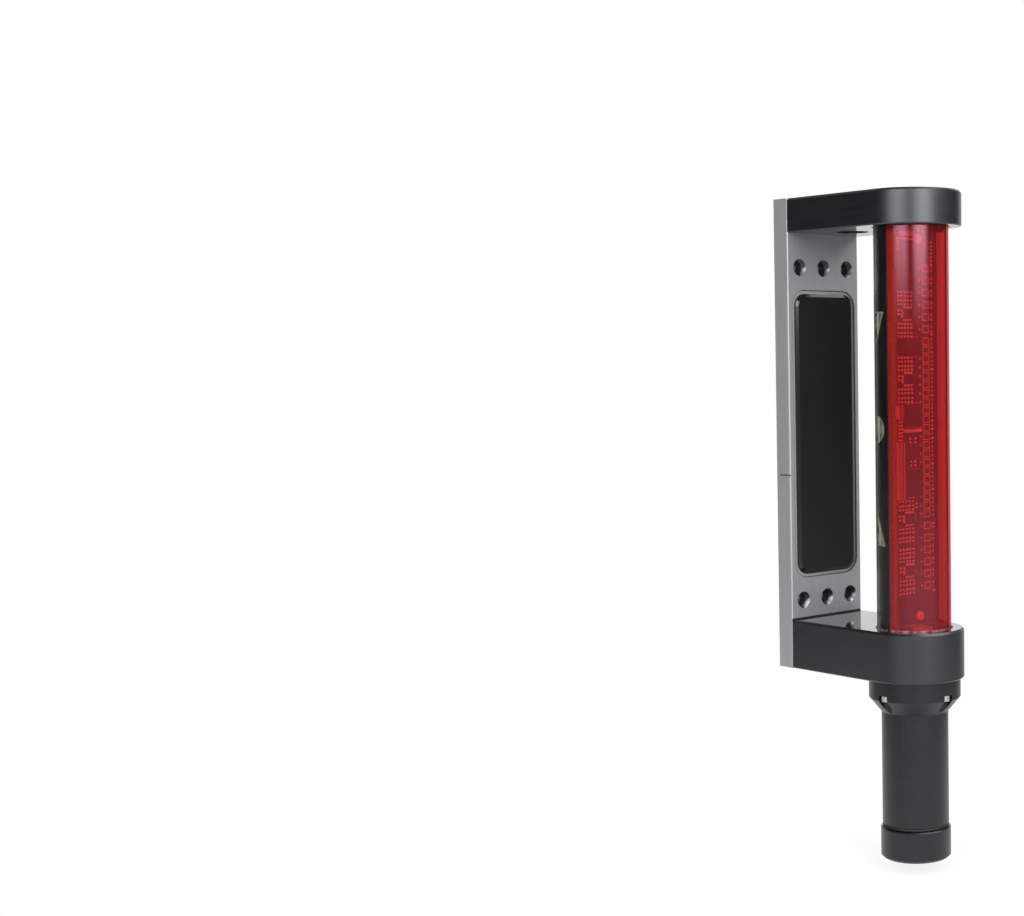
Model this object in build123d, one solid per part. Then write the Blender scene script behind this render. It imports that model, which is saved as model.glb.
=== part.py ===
from build123d import *
import os
from math import cos, hypot, radians, sin, sqrt

# A machine-control laser receiver: a back plate with two arms that hold an upright window tube,
# and a battery tube with a screw cap under the lower arm.
# Millimetres, +Z up. The origin is the centre of the back plate's rear face, and the tube stands in
# front of the plate, towards -Y. An azimuth turns round the tube's axis, from -Y towards -X.

# Back plate
plate_width = 53.7
plate_thickness = 11.4
plate_height = 258.8
plate_edge_chamfer = 0.5
mount_column_pitch = 18.0
mount_row_spacing = 184.2
mount_hole_d = 5.5
mount_sink_d = 9.3
recess_width = 47.6
recess_height = 159.4
recess_depth = 0.8
recess_corner_r = 9.0
inlay_gap = 2.0
inlay_rise = 1.2
inlay_bevel = 1.6
inlay_bevel_depth = 0.8
index_line_z = -22.2
index_line_width = 1.0
index_line_length = 8.4
index_line_depth = 0.4

# Arms and the screws that hold them to the plate
arm_reach = 67.6
upper_arm_height = 18.6
lower_arm_height = 26.8
arm_top_chamfer = 1.2
arm_foot_chamfer = 0.6
arm_screw_d = 5.0
arm_screw_head_d = 9.8
arm_screw_spacing = 30.0
arm_screw_grip = 12.0
arm_screw_key = 3.0
screw_clearance = 0.1

# Window tube, its films and its seats in the arms
tube_d = 40.0
tube_wall = 1.5
socket_depth = 7.0
socket_clearance = 0.15
socket_chamfer = 0.8
seal_section = 1.8
seal_clearance = 0.1
film_thickness = 0.5
film_clearance = 0.1
window_half_angle = 93.0
film_split_angle = 0.5

# Display symbols in the black film
symbol_azimuth = 121.3
symbol_pitch = 52.4
arrow_width = 16.0
arrow_height = 19.4
arrow_corner_r = 0.7
dot_d = 15.0
pane_clearance = 0.1

# Boards and the blocks that hold them
board_thickness = 1.6
board_front_offset = 4.0
board_edge_gap = 1.5
board_slot_depth = 2.0
board_slot_clearance = 0.1
block_gap = 0.4
block_step = 2.5
boss_width = 14.0
boss_height = 10.5
board_screw_d = 3.0
board_screw_head_d = 5.2
board_screw_head_height = 1.9
board_screw_rise = 4.0
board_screw_grip = 5.0
display_board_thickness = 1.2
display_board_width = 12.0
display_board_depth = 5.9
display_board_gap = 0.5
led_size = 2.4
led_height = 1.2
led_pitch = 4.2

# Sensor board components
diode_width = 5.4
diode_height = 4.1
diode_thickness = 1.6
diode_frame = 0.7
diode_window_depth = 0.3
diode_column_x = 5.0
diode_offset = 0.4
diode_fine_pitch = 4.59
diode_fine_steps = 20
diode_coarse_pitch = 6.42
diode_coarse_steps = 6
chip_column_x = -4.6
chip_width = 10.8
chip_thickness = 1.4
chip_heights = (9.6, 11.8, 14.4)
chip_offsets = (43.3, 7.3, -28.7)
amplifier_column_x = -7.3
amplifier_width = 7.0
amplifier_height = 5.3
amplifier_thickness = 1.0
amplifier_offsets = (60.8, 26.4, -47.5, -75.1)
crystal_x = -5.0
crystal_width = 13.0
crystal_height = 1.8
crystal_thickness = 1.8
crystal_offset = -0.8
regulator_width = 4.4
regulator_height = 7.6
regulator_thickness = 1.2
regulator_offset = 9.0
connector_column_x = -13.0
connector_width = 4.6
connector_height = 30.6
connector_thickness = 2.2
connector_offset = -22.1
header_x = -8.4
header_width = 9.6
header_height = 2.4
header_thickness = 2.4
header_drop = 1.6

# Wiring behind the boards
lead_d = 1.8
lead_row = 8.0
lead_bend_r = 4.0
lead_hole_d = 4.0
lead_socket_width = 6.0
lead_socket_depth = 4.0
lead_socket_height = 5.0
lead_socket_rise = 20.5
lead_level = 9.5

# Power button in the underside of the upper arm
button_from_plate = 23.4
button_recess_d = 18.2
button_recess_depth = 4.0
button_cavity_d = 14.0
button_cavity_depth = 9.0
button_d = 12.0
button_flange_d = 13.4
button_flange_thickness = 1.5
button_stem_d = 3.0
button_stem_length = 2.6
button_travel = 1.0
button_stop_gap = 0.6
button_clearance = 0.3
button_edge_chamfer = 0.5
bezel_height = 2.2
bezel_clearance = 0.2
bezel_notch_width = 1.6
gasket_thickness = 0.4
switch_d = 13.0

# Collar and battery tube
collar_d = 49.5
collar_height = 10.3
cone_height = 8.0
battery_tube_d = 36.0
battery_bore_d = 32.8
battery_tube_length = 79.0
collar_screw_circle_d = 43.7
collar_screw_d = 3.0
collar_screw_head_d = 5.5
collar_screw_head_height = 3.0
collar_screw_key = 2.5
collar_screw_seat = 7.5
collar_screw_grip = 10.0
counterbore_d = 6.2
collar_seal_gap = 0.5

# Cells, their carrier and the contacts above them
contact_block_height = 9.0
contact_block_clearance = 0.3
contact_height = 2.9
contact_gap = 0.1
contact_pin_d = 5.0
contact_ring_d = 14.0
contact_ring_wall = 2.0
block_screw_spacing = 23.0
block_screw_grip = 7.0
carrier_clearance = 0.4
carrier_plate = 2.5
carrier_rib_d = 4.0
carrier_rib_inset = 0.5
cell_count = 3
cell_d = 14.4
cell_length = 50.4
cell_nub_d = 5.4
cell_nub_height = 1.2
cell_spacing_gap = 0.2
cell_end_gap = 0.1
bridge_thickness = 0.4
bridge_width = 6.0

# Screw cap
cap_d = 37.9
cap_height = 16.8
cap_gap = 2.0
cap_floor = 12.7
cap_chamfer = 1.2
cap_shoulder = 0.6
spigot_length = 9.0
spigot_clearance = 0.3
spigot_wall = 2.9
coin_slot_width = 2.6
coin_slot_length = 24.0
coin_slot_depth = 2.2
o_ring_section = 1.7
o_ring_sides = 8
o_ring_clearance = 0.15
spring_width = 8.0
spring_length = 16.0
spring_thickness = 0.6
spring_gap = 0.2

# Heights and places worked out from the sizes above
plate_top = plate_height / 2
plate_bottom = -plate_height / 2
plate_front = -plate_thickness
axis_y = plate_front - arm_reach
arm_end_r = plate_width / 2
upper_arm_floor = plate_top - upper_arm_height
lower_arm_top = plate_bottom + lower_arm_height
tube_r = tube_d / 2
tube_top = upper_arm_floor + socket_depth
tube_bottom = lower_arm_top - socket_depth
window_mid = (upper_arm_floor + lower_arm_top) / 2
socket_r = tube_r + socket_clearance
film_outer_r = tube_r - tube_wall - film_clearance
film_inner_r = film_outer_r - film_thickness
block_r = film_inner_r - block_gap
upper_block_face = upper_arm_floor - block_step
lower_block_face = lower_arm_top + block_step
board_front = axis_y - board_front_offset
board_rear = board_front + board_thickness
board_half_width = sqrt((film_inner_r - board_edge_gap) ** 2 - board_front_offset ** 2)
board_low = lower_block_face - board_slot_depth
board_high = upper_block_face + board_slot_depth
lead_y = axis_y + lead_row
boss_rear = lead_y - lead_hole_d / 2
arm_screw_heights = (plate_top - upper_arm_height / 2, plate_bottom + lower_arm_height / 2)
button_y = plate_front - button_from_plate
button_step = upper_arm_floor + button_recess_depth
button_roof = button_step + button_cavity_depth
bezel_top = button_step - gasket_thickness
bezel_floor = bezel_top - bezel_height
button_flange_floor = bezel_top + button_clearance
button_flange_top = button_flange_floor + button_flange_thickness
switch_floor = button_flange_top + button_travel + button_stop_gap
lead_channel_z = upper_arm_floor + lead_level
collar_r = collar_d / 2
battery_tube_r = battery_tube_d / 2
battery_bore_r = battery_bore_d / 2
collar_floor = plate_bottom - collar_height
cone_floor = collar_floor - cone_height
battery_tube_end = plate_bottom - battery_tube_length
screw_seat_z = plate_bottom - collar_screw_seat
contact_floor = plate_bottom - contact_block_height
carrier_top = contact_floor - contact_height - contact_gap
cell_space = cell_length + 2 * (bridge_thickness + cell_end_gap)
carrier_floor = carrier_top - cell_space - 2 * carrier_plate
carrier_r = battery_bore_r - carrier_clearance
cell_circle_r = (cell_d + cell_spacing_gap) / sqrt(3)
cap_top = battery_tube_end - cap_gap
cap_bottom = cap_top - cap_height
cap_inside_floor = cap_bottom + cap_floor
spigot_r = battery_bore_r - spigot_clearance
BASE = (Align.CENTER, Align.CENTER, Align.MIN)


def round_bar(radius, low, high, x=0.0, y=axis_y):
    """An upright round bar between two heights, about the tube's axis unless told otherwise."""
    return Pos(x, y, low) * Cylinder(radius, high - low, align=BASE)


def ring(inner_r, outer_r, low, high, y=axis_y):
    """An upright ring of square section."""
    return round_bar(outer_r, low, high, y=y) - round_bar(inner_r, low, high, y=y)


def slab(x_limits, y_limits, z_limits):
    """A box given by its limits along each axis."""
    lows, highs = zip(x_limits, y_limits, z_limits)
    size = [high - low for low, high in zip(lows, highs)]
    return Pos(*lows) * Box(*size, align=(Align.MIN, Align.MIN, Align.MIN))


def along_y(radius, z, front, rear):
    """A round bar along Y on the middle plane."""
    plane = Plane((0, front, z), x_dir=(1, 0, 0), z_dir=(0, 1, 0))
    return plane * Cylinder(radius, rear - front, align=BASE)


def into_plate(x, z, from_front):
    """A plane on the plate's front or rear face whose Z axis points into the plate."""
    if from_front:
        return Plane((x, plate_front, z), x_dir=(1, 0, 0), z_dir=(0, 1, 0))
    return Plane((x, 0, z), x_dir=(1, 0, 0), z_dir=(0, -1, 0))


def sunk_shape(shank_r, head_r, length):
    """A countersunk shape along +Z, with its widest end at the origin."""
    shank = Cylinder(shank_r, length, align=BASE)
    return shank + Cone(head_r, shank_r, head_r - shank_r, align=BASE)


def hex_socket(key, depth):
    """The cutter of a hexagon socket, along +Z from the origin."""
    return extrude(RegularPolygon(key / 2, 6, major_radius=False), depth)


def arm_screw_places():
    """The X and Z of each screw that joins an arm to the plate."""
    half = arm_screw_spacing / 2
    return [(x, z) for z in arm_screw_heights for x in (-half, half)]


def collar_screw_places():
    """The X and Y of each collar screw: front, rear and both sides."""
    radius = collar_screw_circle_d / 2
    return [(radius * x, axis_y + radius * y) for x, y in ((0, -1), (-1, 0), (0, 1), (1, 0))]


def make_back_plate():
    """The plate with its mounting holes, inlay recess, index line and arm screw holes."""
    body = Pos(0, -plate_thickness / 2, 0) * Box(plate_width, plate_thickness, plate_height)
    body = chamfer(body.edges().filter_by(Axis.Z), plate_edge_chamfer)
    for row in (-mount_row_spacing / 2, mount_row_spacing / 2):
        for column in (-mount_column_pitch, 0, mount_column_pitch):
            hole = sunk_shape(mount_hole_d / 2, mount_sink_d / 2, plate_thickness)
            body -= into_plate(column, row, True) * hole
    for x, z in arm_screw_places():
        shank_r = arm_screw_d / 2 + screw_clearance
        head_r = arm_screw_head_d / 2 + screw_clearance
        body -= into_plate(x, z, False) * sunk_shape(shank_r, head_r, plate_thickness)
    outline = RectangleRounded(recess_width, recess_height, recess_corner_r)
    body -= into_plate(0, 0, True) * extrude(outline, recess_depth)
    side = -plate_width / 2
    body -= slab(
        (side, side + index_line_depth),
        (plate_front, plate_front + index_line_length),
        (index_line_z - index_line_width / 2, index_line_z + index_line_width / 2),
    )
    return body


def make_name_inlay():
    """The bare inlay, standing a little proud of the plate's face, with a bevel round its front."""
    width = recess_width - 2 * inlay_gap
    height = recess_height - 2 * inlay_gap
    outline = RectangleRounded(width, height, recess_corner_r - inlay_gap)
    body = into_plate(0, 0, True) * Pos(0, 0, -inlay_rise) * extrude(outline, inlay_rise + recess_depth)
    front = body.faces().sort_by(Axis.Y)[0]
    return chamfer(front.edges(), inlay_bevel, inlay_bevel_depth, reference=front)


def arm_blank(low, high):
    """An arm before its holes: straight sides that run into a round end about the tube's axis."""
    outline = Pos(0, axis_y) * Circle(arm_end_r)
    outline += Pos(0, (plate_front + axis_y) / 2) * Rectangle(plate_width, arm_reach)
    body = extrude(Pos(0, 0, low) * outline, high - low)
    for level, size in ((-1, arm_top_chamfer), (0, arm_foot_chamfer)):
        rim = body.edges().group_by(Axis.Z)[level]
        joint = body.faces().sort_by(Axis.Y)[-1].edges()
        body = chamfer([edge for edge in rim if edge not in joint], size)
    return body


def arm_screw_holes(z):
    """The two tapped holes that take an arm's screws."""
    half = arm_screw_spacing / 2
    radius = arm_screw_d / 2 + screw_clearance
    depth = arm_screw_grip + screw_clearance
    hole = Cylinder(radius, depth, align=BASE)
    left, right = [
        Plane((x, plate_front, z), x_dir=(1, 0, 0), z_dir=(0, -1, 0)) * hole for x in (-half, half)
    ]
    return left + right


def seal_groove(middle):
    """The groove of a tube seal in a socket's wall."""
    half = seal_section / 2 + seal_clearance
    outer_r = tube_r + seal_section + 2 * seal_clearance
    return ring(tube_r, outer_r, middle - half, middle + half)


def socket_mouth(face, into):
    """The chamfer at the mouth of a tube socket. The sign of into says which way the socket goes."""
    low, high = sorted((face, face + into * socket_chamfer))
    wide, narrow = socket_r + socket_chamfer, socket_r
    bottom_r, top_r = (wide, narrow) if into > 0 else (narrow, wide)
    return Pos(0, axis_y, low) * Cone(bottom_r, top_r, high - low, align=BASE)


def make_upper_arm():
    """The upper arm: tube socket below, button recess, and a channel for the switch lead."""
    body = arm_blank(upper_arm_floor, plate_top)
    body -= round_bar(socket_r, upper_arm_floor, tube_top)
    body -= socket_mouth(upper_arm_floor, 1)
    body -= seal_groove((upper_arm_floor + tube_top) / 2)
    body -= round_bar(button_recess_d / 2, upper_arm_floor, button_step, y=button_y)
    body -= round_bar(button_cavity_d / 2, button_step, button_roof, y=button_y)
    channel_roof = lead_channel_z + lead_hole_d / 2
    half = lead_hole_d / 2
    body -= slab((-half, half), (lead_y - half, button_y), (lead_channel_z - half, channel_roof))
    body -= round_bar(half, tube_top, channel_roof, y=lead_y)
    return body - arm_screw_holes(arm_screw_heights[0])


def make_lower_arm():
    """The lower arm: tube socket above, a way for the supply lead, and holes for the collar below."""
    body = arm_blank(plate_bottom, lower_arm_top)
    body -= round_bar(socket_r, tube_bottom, lower_arm_top)
    body -= socket_mouth(lower_arm_top, -1)
    body -= seal_groove((lower_arm_top + tube_bottom) / 2)
    body -= round_bar(lead_hole_d / 2, plate_bottom, tube_bottom, y=lead_y)
    tapped_r = collar_screw_d / 2 + screw_clearance
    for x, y in collar_screw_places():
        body -= round_bar(tapped_r, plate_bottom, plate_bottom + collar_screw_grip + screw_clearance, x, y)
    for x in (-block_screw_spacing / 2, block_screw_spacing / 2):
        body -= round_bar(tapped_r, plate_bottom, plate_bottom + block_screw_grip + screw_clearance, x)
    return body - arm_screw_holes(arm_screw_heights[1])


def make_arm_screws():
    """Countersunk socket screws, their heads just below the plate's rear face."""
    length = plate_thickness + arm_screw_grip
    screw = sunk_shape(arm_screw_d / 2, arm_screw_head_d / 2, length - screw_clearance)
    screw -= hex_socket(arm_screw_key, arm_screw_d / 2)
    sunk = Pos(0, 0, screw_clearance)
    return [into_plate(x, z, False) * sunk * screw for x, z in arm_screw_places()]


def make_window_tube():
    """The clear tube, from socket to socket."""
    return ring(tube_r - tube_wall, tube_r, tube_bottom, tube_top)


def film(half_angle, middle_azimuth):
    """A curved film just inside the tube, centred on an azimuth."""
    start = 270 - middle_azimuth - half_angle
    outer = CenterArc((0, 0), film_outer_r, start, 2 * half_angle)
    inner = CenterArc((0, 0), film_inner_r, start, 2 * half_angle)
    outline = make_face([outer, Line(outer @ 1, inner @ 1), inner, Line(inner @ 0, outer @ 0)])
    return Pos(0, axis_y, tube_bottom) * extrude(outline, tube_top - tube_bottom)


def make_red_filter():
    """The red film behind the front of the tube."""
    return film(window_half_angle - film_split_angle / 2, 0)


def arrow_outline(points_up, inset):
    """An arrowhead about the origin, drawn in by an inset."""
    half_width, tip = arrow_width / 2, arrow_height / 2
    outline = Polygon((0, tip), (-half_width, -tip), (half_width, -tip), align=None)
    outline = fillet(outline.vertices(), arrow_corner_r)
    outline = offset(outline, -inset) if inset else outline
    return outline if points_up else Rot(0, 0, 180) * outline


def dot_outline(inset):
    """The centre dot about the origin, drawn in by an inset."""
    return Circle(dot_d / 2 - inset)


def symbol_prism(outline, side, height):
    """A symbol's outline carried straight out through the films, on the left (1) or right (-1)."""
    turn = radians(side * symbol_azimuth)
    outward = (-sin(turn), -cos(turn), 0)
    across = (cos(turn), -sin(turn), 0)
    plane = Plane((0, axis_y, height), x_dir=across, z_dir=outward)
    return plane * extrude(outline, tube_r)


def symbol_set(name, inset):
    """Both prisms of one symbol, left and right."""
    heights = {"down": window_mid + symbol_pitch, "dot": window_mid, "up": window_mid - symbol_pitch}
    outline = dot_outline(inset) if name == "dot" else arrow_outline(name == "up", inset)
    return [symbol_prism(outline, side, heights[name]) for side in (1, -1)]


def rear_film():
    """The film behind the rear of the tube, before the symbols are cut in it."""
    return film(180 - window_half_angle - film_split_angle / 2, 180)


def make_display_mask():
    """The black rear film with an opening for each symbol."""
    body = rear_film()
    for name in ("down", "dot", "up"):
        for prism in symbol_set(name, 0):
            body -= prism
    return body


def make_panes(name):
    """The panes that fill one symbol's openings."""
    return [rear_film() & prism for prism in symbol_set(name, pane_clearance)]


def make_tube_seal(middle):
    """A square-section seal round the tube."""
    half = seal_section / 2
    inner_r = tube_r + seal_clearance
    return ring(inner_r, inner_r + seal_section, middle - half, middle + half)


def board_outline(clearance):
    """The sensor board's limits across the tube."""
    across = (-board_half_width - clearance, board_half_width + clearance)
    return across, (board_front - clearance, board_rear + clearance)


def board_screw_heights():
    """The heights of the two screws that hold the sensor board to its blocks."""
    return lower_block_face + board_screw_rise, upper_block_face - board_screw_rise


def make_sensor_board():
    """The upright board behind the red window."""
    body = slab(*board_outline(0), (board_low, board_high))
    for z in board_screw_heights():
        body -= along_y(board_screw_d / 2 + screw_clearance, z, board_front, board_rear)
    return body


def display_board_slab(side, clearance, low, high):
    """A display board's space: it faces its symbols and starts just behind the sensor board."""
    turn = radians(symbol_azimuth)
    face = film_inner_r - display_board_depth
    inner_face = face - display_board_thickness
    nearest = board_rear - axis_y + display_board_gap
    front_run = (-cos(turn) * inner_face - nearest) / sin(turn)
    middle = display_board_width / 2 - front_run
    plane = Plane((0, axis_y, 0), x_dir=(-sin(turn), -cos(turn), 0), z_dir=(0, 0, 1))
    depth = display_board_thickness + 2 * clearance
    width = display_board_width + 2 * clearance
    place = Pos((face + inner_face) / 2, -middle, low)
    body = plane * place * Box(depth, width, high - low, align=BASE)
    return body if side > 0 else mirror(body, Plane.YZ)


def make_display_leds(side):
    """Three clusters of small lamps on a display board, one behind each symbol."""
    turn = radians(symbol_azimuth)
    plane = Plane((0, axis_y, 0), x_dir=(-sin(turn), -cos(turn), 0), z_dir=(0, 0, 1))
    face = film_inner_r - display_board_depth
    lamp = Box(led_height, led_size, led_size, align=(Align.MIN, Align.CENTER, Align.CENTER))
    lamps = []
    for level in (-symbol_pitch, 0, symbol_pitch):
        for row in (-led_pitch, 0, led_pitch):
            for column in (-led_pitch / 2, led_pitch / 2):
                lamps.append(plane * Pos(face, column, window_mid + level + row) * lamp)
    return lamps if side > 0 else [mirror(lamp, Plane.YZ) for lamp in lamps]


def board_slots(low, high):
    """The slots that take the ends of the three boards."""
    cutter = slab(*board_outline(board_slot_clearance), (low, high))
    for side in (1, -1):
        cutter += display_board_slab(side, board_slot_clearance, low, high)
    return cutter


def make_board_block(end, face, away):
    """A plug in the end of the tube with slots for the boards and a boss for the board screw."""
    low, high = sorted((end, face))
    body = round_bar(block_r, low, high)
    slot_low, slot_high = sorted((face, face - away * board_slot_depth))
    body -= board_slots(slot_low, slot_high)
    boss_low, boss_high = sorted((face, face + away * boss_height))
    body += slab((-boss_width / 2, boss_width / 2), (board_rear, boss_rear), (boss_low, boss_high))
    screw_z = face + away * board_screw_rise
    pilot = board_screw_grip + screw_clearance
    body -= along_y(board_screw_d / 2 + screw_clearance, screw_z, board_rear, board_rear + pilot)
    return body - round_bar(lead_hole_d / 2, low, high, y=lead_y)


def make_board_screws():
    """Round-headed screws through the sensor board into the two blocks."""
    screws = []
    for z in board_screw_heights():
        head = along_y(board_screw_head_d / 2, z, board_front - board_screw_head_height, board_front)
        rim = head.edges().sort_by(Axis.Y)[0]
        head = fillet(rim, board_screw_head_height * 0.75)
        screws.append(head + along_y(board_screw_d / 2, z, board_front, board_rear + board_screw_grip))
    return screws


def diode_heights():
    """The photodiodes' heights: close together in the middle and wider apart towards both ends."""
    half_fine = diode_fine_steps * diode_fine_pitch / 2
    heights = [step * diode_fine_pitch - half_fine for step in range(diode_fine_steps + 1)]
    for step in range(1, diode_coarse_steps + 1):
        heights += [half_fine + step * diode_coarse_pitch, -half_fine - step * diode_coarse_pitch]
    return [window_mid + diode_offset + height for height in sorted(heights)]


def above_board(height):
    """A move from the sensor board's face to a height above it."""
    return Pos(0, -height, 0)


def on_board(x, z, width, height, thickness):
    """A component on the sensor board's front."""
    place = Pos(x, board_front - thickness / 2, z)
    return place * Box(width, thickness, height)


def make_photodiodes():
    """The column of light-sensing cells."""
    cell = on_board(diode_column_x, 0, diode_width, diode_height, diode_thickness)
    window = (diode_width - 2 * diode_frame, diode_height - 2 * diode_frame, diode_window_depth)
    step = above_board(diode_thickness - diode_window_depth)
    cell -= step * on_board(diode_column_x, 0, *window)
    return [Pos(0, 0, z) * cell for z in diode_heights()]


def make_board_chips():
    """The three large chips beside the photodiodes."""
    return [
        on_board(chip_column_x, window_mid + offset_z, chip_width, height, chip_thickness)
        for offset_z, height in zip(chip_offsets, chip_heights)
    ]


def make_amplifier_chips():
    """The small chips down the board's left half, one for each group of photodiodes."""
    size = (amplifier_width, amplifier_height, amplifier_thickness)
    return [on_board(amplifier_column_x, window_mid + offset_z, *size) for offset_z in amplifier_offsets]


def make_board_regulator():
    """The upright chip above the plug strip."""
    z = window_mid + regulator_offset
    return on_board(connector_column_x, z, regulator_width, regulator_height, regulator_thickness)


def make_board_crystal():
    """The long metal can of the crystal, between two of the large chips."""
    z = window_mid + crystal_offset
    body = on_board(crystal_x, z, crystal_width, crystal_height, crystal_thickness)
    ends = body.edges().filter_by(Axis.Y)
    return fillet(ends, crystal_height * 0.45)


def make_board_connector():
    """The long plug strip at the board's left edge."""
    z = window_mid + connector_offset
    return on_board(connector_column_x, z, connector_width, connector_height, connector_thickness)


def make_board_header():
    """The short pale plug strip at the board's top."""
    z = upper_block_face - header_drop
    return on_board(header_x, z, header_width, header_height, header_thickness)


def socket_heights():
    """The heights of the lower and upper lead sockets."""
    return lower_block_face + lead_socket_rise, upper_block_face - lead_socket_rise


def make_lead_sockets():
    """The sockets on the back of the sensor board that the leads plug into."""
    half = lead_socket_width / 2
    rise = lead_socket_height / 2
    depth = (board_rear, board_rear + lead_socket_depth)
    return [slab((-half, half), depth, (z - rise, z + rise)) for z in socket_heights()]


def lead(points):
    """A round lead along straight runs joined by arcs."""
    path = FilletPolyline(*points, radius=lead_bend_r)
    start = Plane(origin=path @ 0, z_dir=path % 0)
    return sweep(start * Circle(lead_d / 2), path=path)


def make_supply_lead():
    """The lead from the contact block up to the lower socket."""
    z = socket_heights()[0]
    socket_face = board_rear + lead_socket_depth
    return lead([(0, lead_y, plate_bottom), (0, lead_y, z), (0, socket_face, z)])


def make_switch_lead():
    """The lead from the switch along the arm and down to the upper socket."""
    z = socket_heights()[1]
    socket_face = board_rear + lead_socket_depth
    switch_side = button_y - switch_d / 2
    turn = (0, lead_y, lead_channel_z)
    return lead([(0, switch_side, lead_channel_z), turn, (0, lead_y, z), (0, socket_face, z)])


def make_power_button():
    """The push button, with the flange that keeps it in and the stem that works the switch."""
    cap = round_bar(button_d / 2, bezel_floor + button_clearance, button_flange_floor, y=button_y)
    cap = chamfer(cap.edges().sort_by(Axis.Z)[0], button_edge_chamfer)
    flange = round_bar(button_flange_d / 2, button_flange_floor, button_flange_top, y=button_y)
    stem_top = button_flange_top + button_stem_length
    return cap + flange + round_bar(button_stem_d / 2, button_flange_top, stem_top, y=button_y)


def make_button_bezel():
    """The screwed ring that keeps the button in, with two notches for a pin spanner."""
    outer_r = button_recess_d / 2 - bezel_clearance
    body = ring(button_d / 2 + button_clearance, outer_r, bezel_floor, bezel_top, y=button_y)
    half = bezel_notch_width / 2
    rows = (button_y - half, button_y + half)
    for side in (-1, 1):
        across = sorted((side * outer_r, side * (outer_r - bezel_notch_width)))
        body -= slab(across, rows, (bezel_floor, bezel_floor + bezel_height / 2))
    return body


def make_button_seal():
    """The gasket between the bezel and the arm."""
    outer_r = button_recess_d / 2 - bezel_clearance
    return ring(button_cavity_d / 2, outer_r, bezel_top, button_step, y=button_y)


def make_button_switch():
    """The sealed switch above the button, with a blind bore for the stem."""
    body = round_bar(switch_d / 2, switch_floor, button_roof, y=button_y)
    bore_r = button_stem_d / 2 + button_clearance
    bore_roof = button_flange_top + button_stem_length + button_travel + button_stop_gap
    return body - round_bar(bore_r, switch_floor, bore_roof, y=button_y)


def screw_pocket(x, y):
    """A pocket for a collar screw's head, open below and out through the collar's wall and the cone."""
    outward = (x, y - axis_y, 0)
    plane = Plane((x, y, cone_floor), x_dir=outward, z_dir=(0, 0, 1))
    depth = screw_seat_z - cone_floor
    mouth = Box(counterbore_d, counterbore_d, depth, align=(Align.MIN, Align.CENTER, Align.MIN))
    return plane * (Cylinder(counterbore_d / 2, depth, align=BASE) + mouth)


def make_battery_tube():
    """The collar, cone and tube, turned in one piece, with pockets for the collar screws."""
    profile = Polyline(
        (battery_bore_r, plate_bottom),
        (collar_r, plate_bottom),
        (collar_r, collar_floor),
        (battery_tube_r, cone_floor),
        (battery_tube_r, battery_tube_end),
        (battery_bore_r, battery_tube_end),
        close=True,
    )
    body = Pos(0, axis_y, 0) * revolve(Plane.XZ * make_face(profile), Axis.Z)
    hole_r = collar_screw_d / 2 + screw_clearance
    for x, y in collar_screw_places():
        body -= round_bar(hole_r, screw_seat_z, plate_bottom, x, y)
        body -= screw_pocket(x, y)
    groove_floor = plate_bottom - seal_section
    inner_r = battery_bore_r + collar_seal_gap
    return body - ring(inner_r, inner_r + seal_section, groove_floor, plate_bottom)


def make_collar_seal():
    """The square-section seal in the collar's top face."""
    inner_r = battery_bore_r + collar_seal_gap + seal_clearance
    outer_r = inner_r + seal_section - 2 * seal_clearance
    return ring(inner_r, outer_r, plate_bottom - seal_section, plate_bottom)


def cap_screw(head_z, grip_top, x, y):
    """A socket cap screw, head down, from its seat up to the end of its grip."""
    head_floor = head_z - collar_screw_head_height
    body = round_bar(collar_screw_head_d / 2, head_floor, head_z, x, y)
    body += round_bar(collar_screw_d / 2, head_z, grip_top, x, y)
    return body - Pos(x, y, head_floor) * hex_socket(collar_screw_key, collar_screw_head_height / 2)


def make_collar_screws():
    """The four screws that hold the collar to the lower arm."""
    grip_top = plate_bottom + collar_screw_grip
    return [cap_screw(screw_seat_z, grip_top, x, y) for x, y in collar_screw_places()]


def block_screw_seat():
    """The height of the contact block's screw seats."""
    return contact_floor + collar_screw_head_height + screw_clearance


def make_contact_block():
    """The moulded block that carries the cell contacts under the lower arm."""
    body = round_bar(battery_bore_r - contact_block_clearance, contact_floor, plate_bottom)
    for x in (-block_screw_spacing / 2, block_screw_spacing / 2):
        body -= round_bar(collar_screw_d / 2 + screw_clearance, contact_floor, plate_bottom, x)
        body -= round_bar(collar_screw_head_d / 2 + screw_clearance, contact_floor, block_screw_seat(), x)
    return body


def make_contact_block_screws():
    """The two screws that hold the contact block."""
    half = block_screw_spacing / 2
    grip_top = plate_bottom + block_screw_grip
    return [cap_screw(block_screw_seat(), grip_top, x, axis_y) for x in (-half, half)]


def make_cell_contacts():
    """The centre pin and the ring that press on the carrier."""
    low = contact_floor - contact_height
    outer_r = contact_ring_d / 2
    pin = round_bar(contact_pin_d / 2, low, contact_floor)
    return [pin, ring(outer_r - contact_ring_wall, outer_r, low, contact_floor)]


def cell_places():
    """The X and Y of each cell round the battery tube's axis."""
    turns = [radians(360 / cell_count * index) for index in range(cell_count)]
    return [(cell_circle_r * sin(turn), axis_y + cell_circle_r * cos(turn)) for turn in turns]


def make_cell_carrier():
    """Two end discs joined by ribs in the gaps between the cells."""
    body = round_bar(carrier_r, carrier_floor, carrier_floor + carrier_plate)
    body += round_bar(carrier_r, carrier_top - carrier_plate, carrier_top)
    rib_circle_r = carrier_r - carrier_rib_d / 2 - carrier_rib_inset
    for x, y in cell_places():
        scale_out = -rib_circle_r / cell_circle_r
        rib_y = axis_y + (y - axis_y) * scale_out
        body += round_bar(carrier_rib_d / 2, carrier_floor, carrier_top, x * scale_out, rib_y)
    return body


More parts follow.
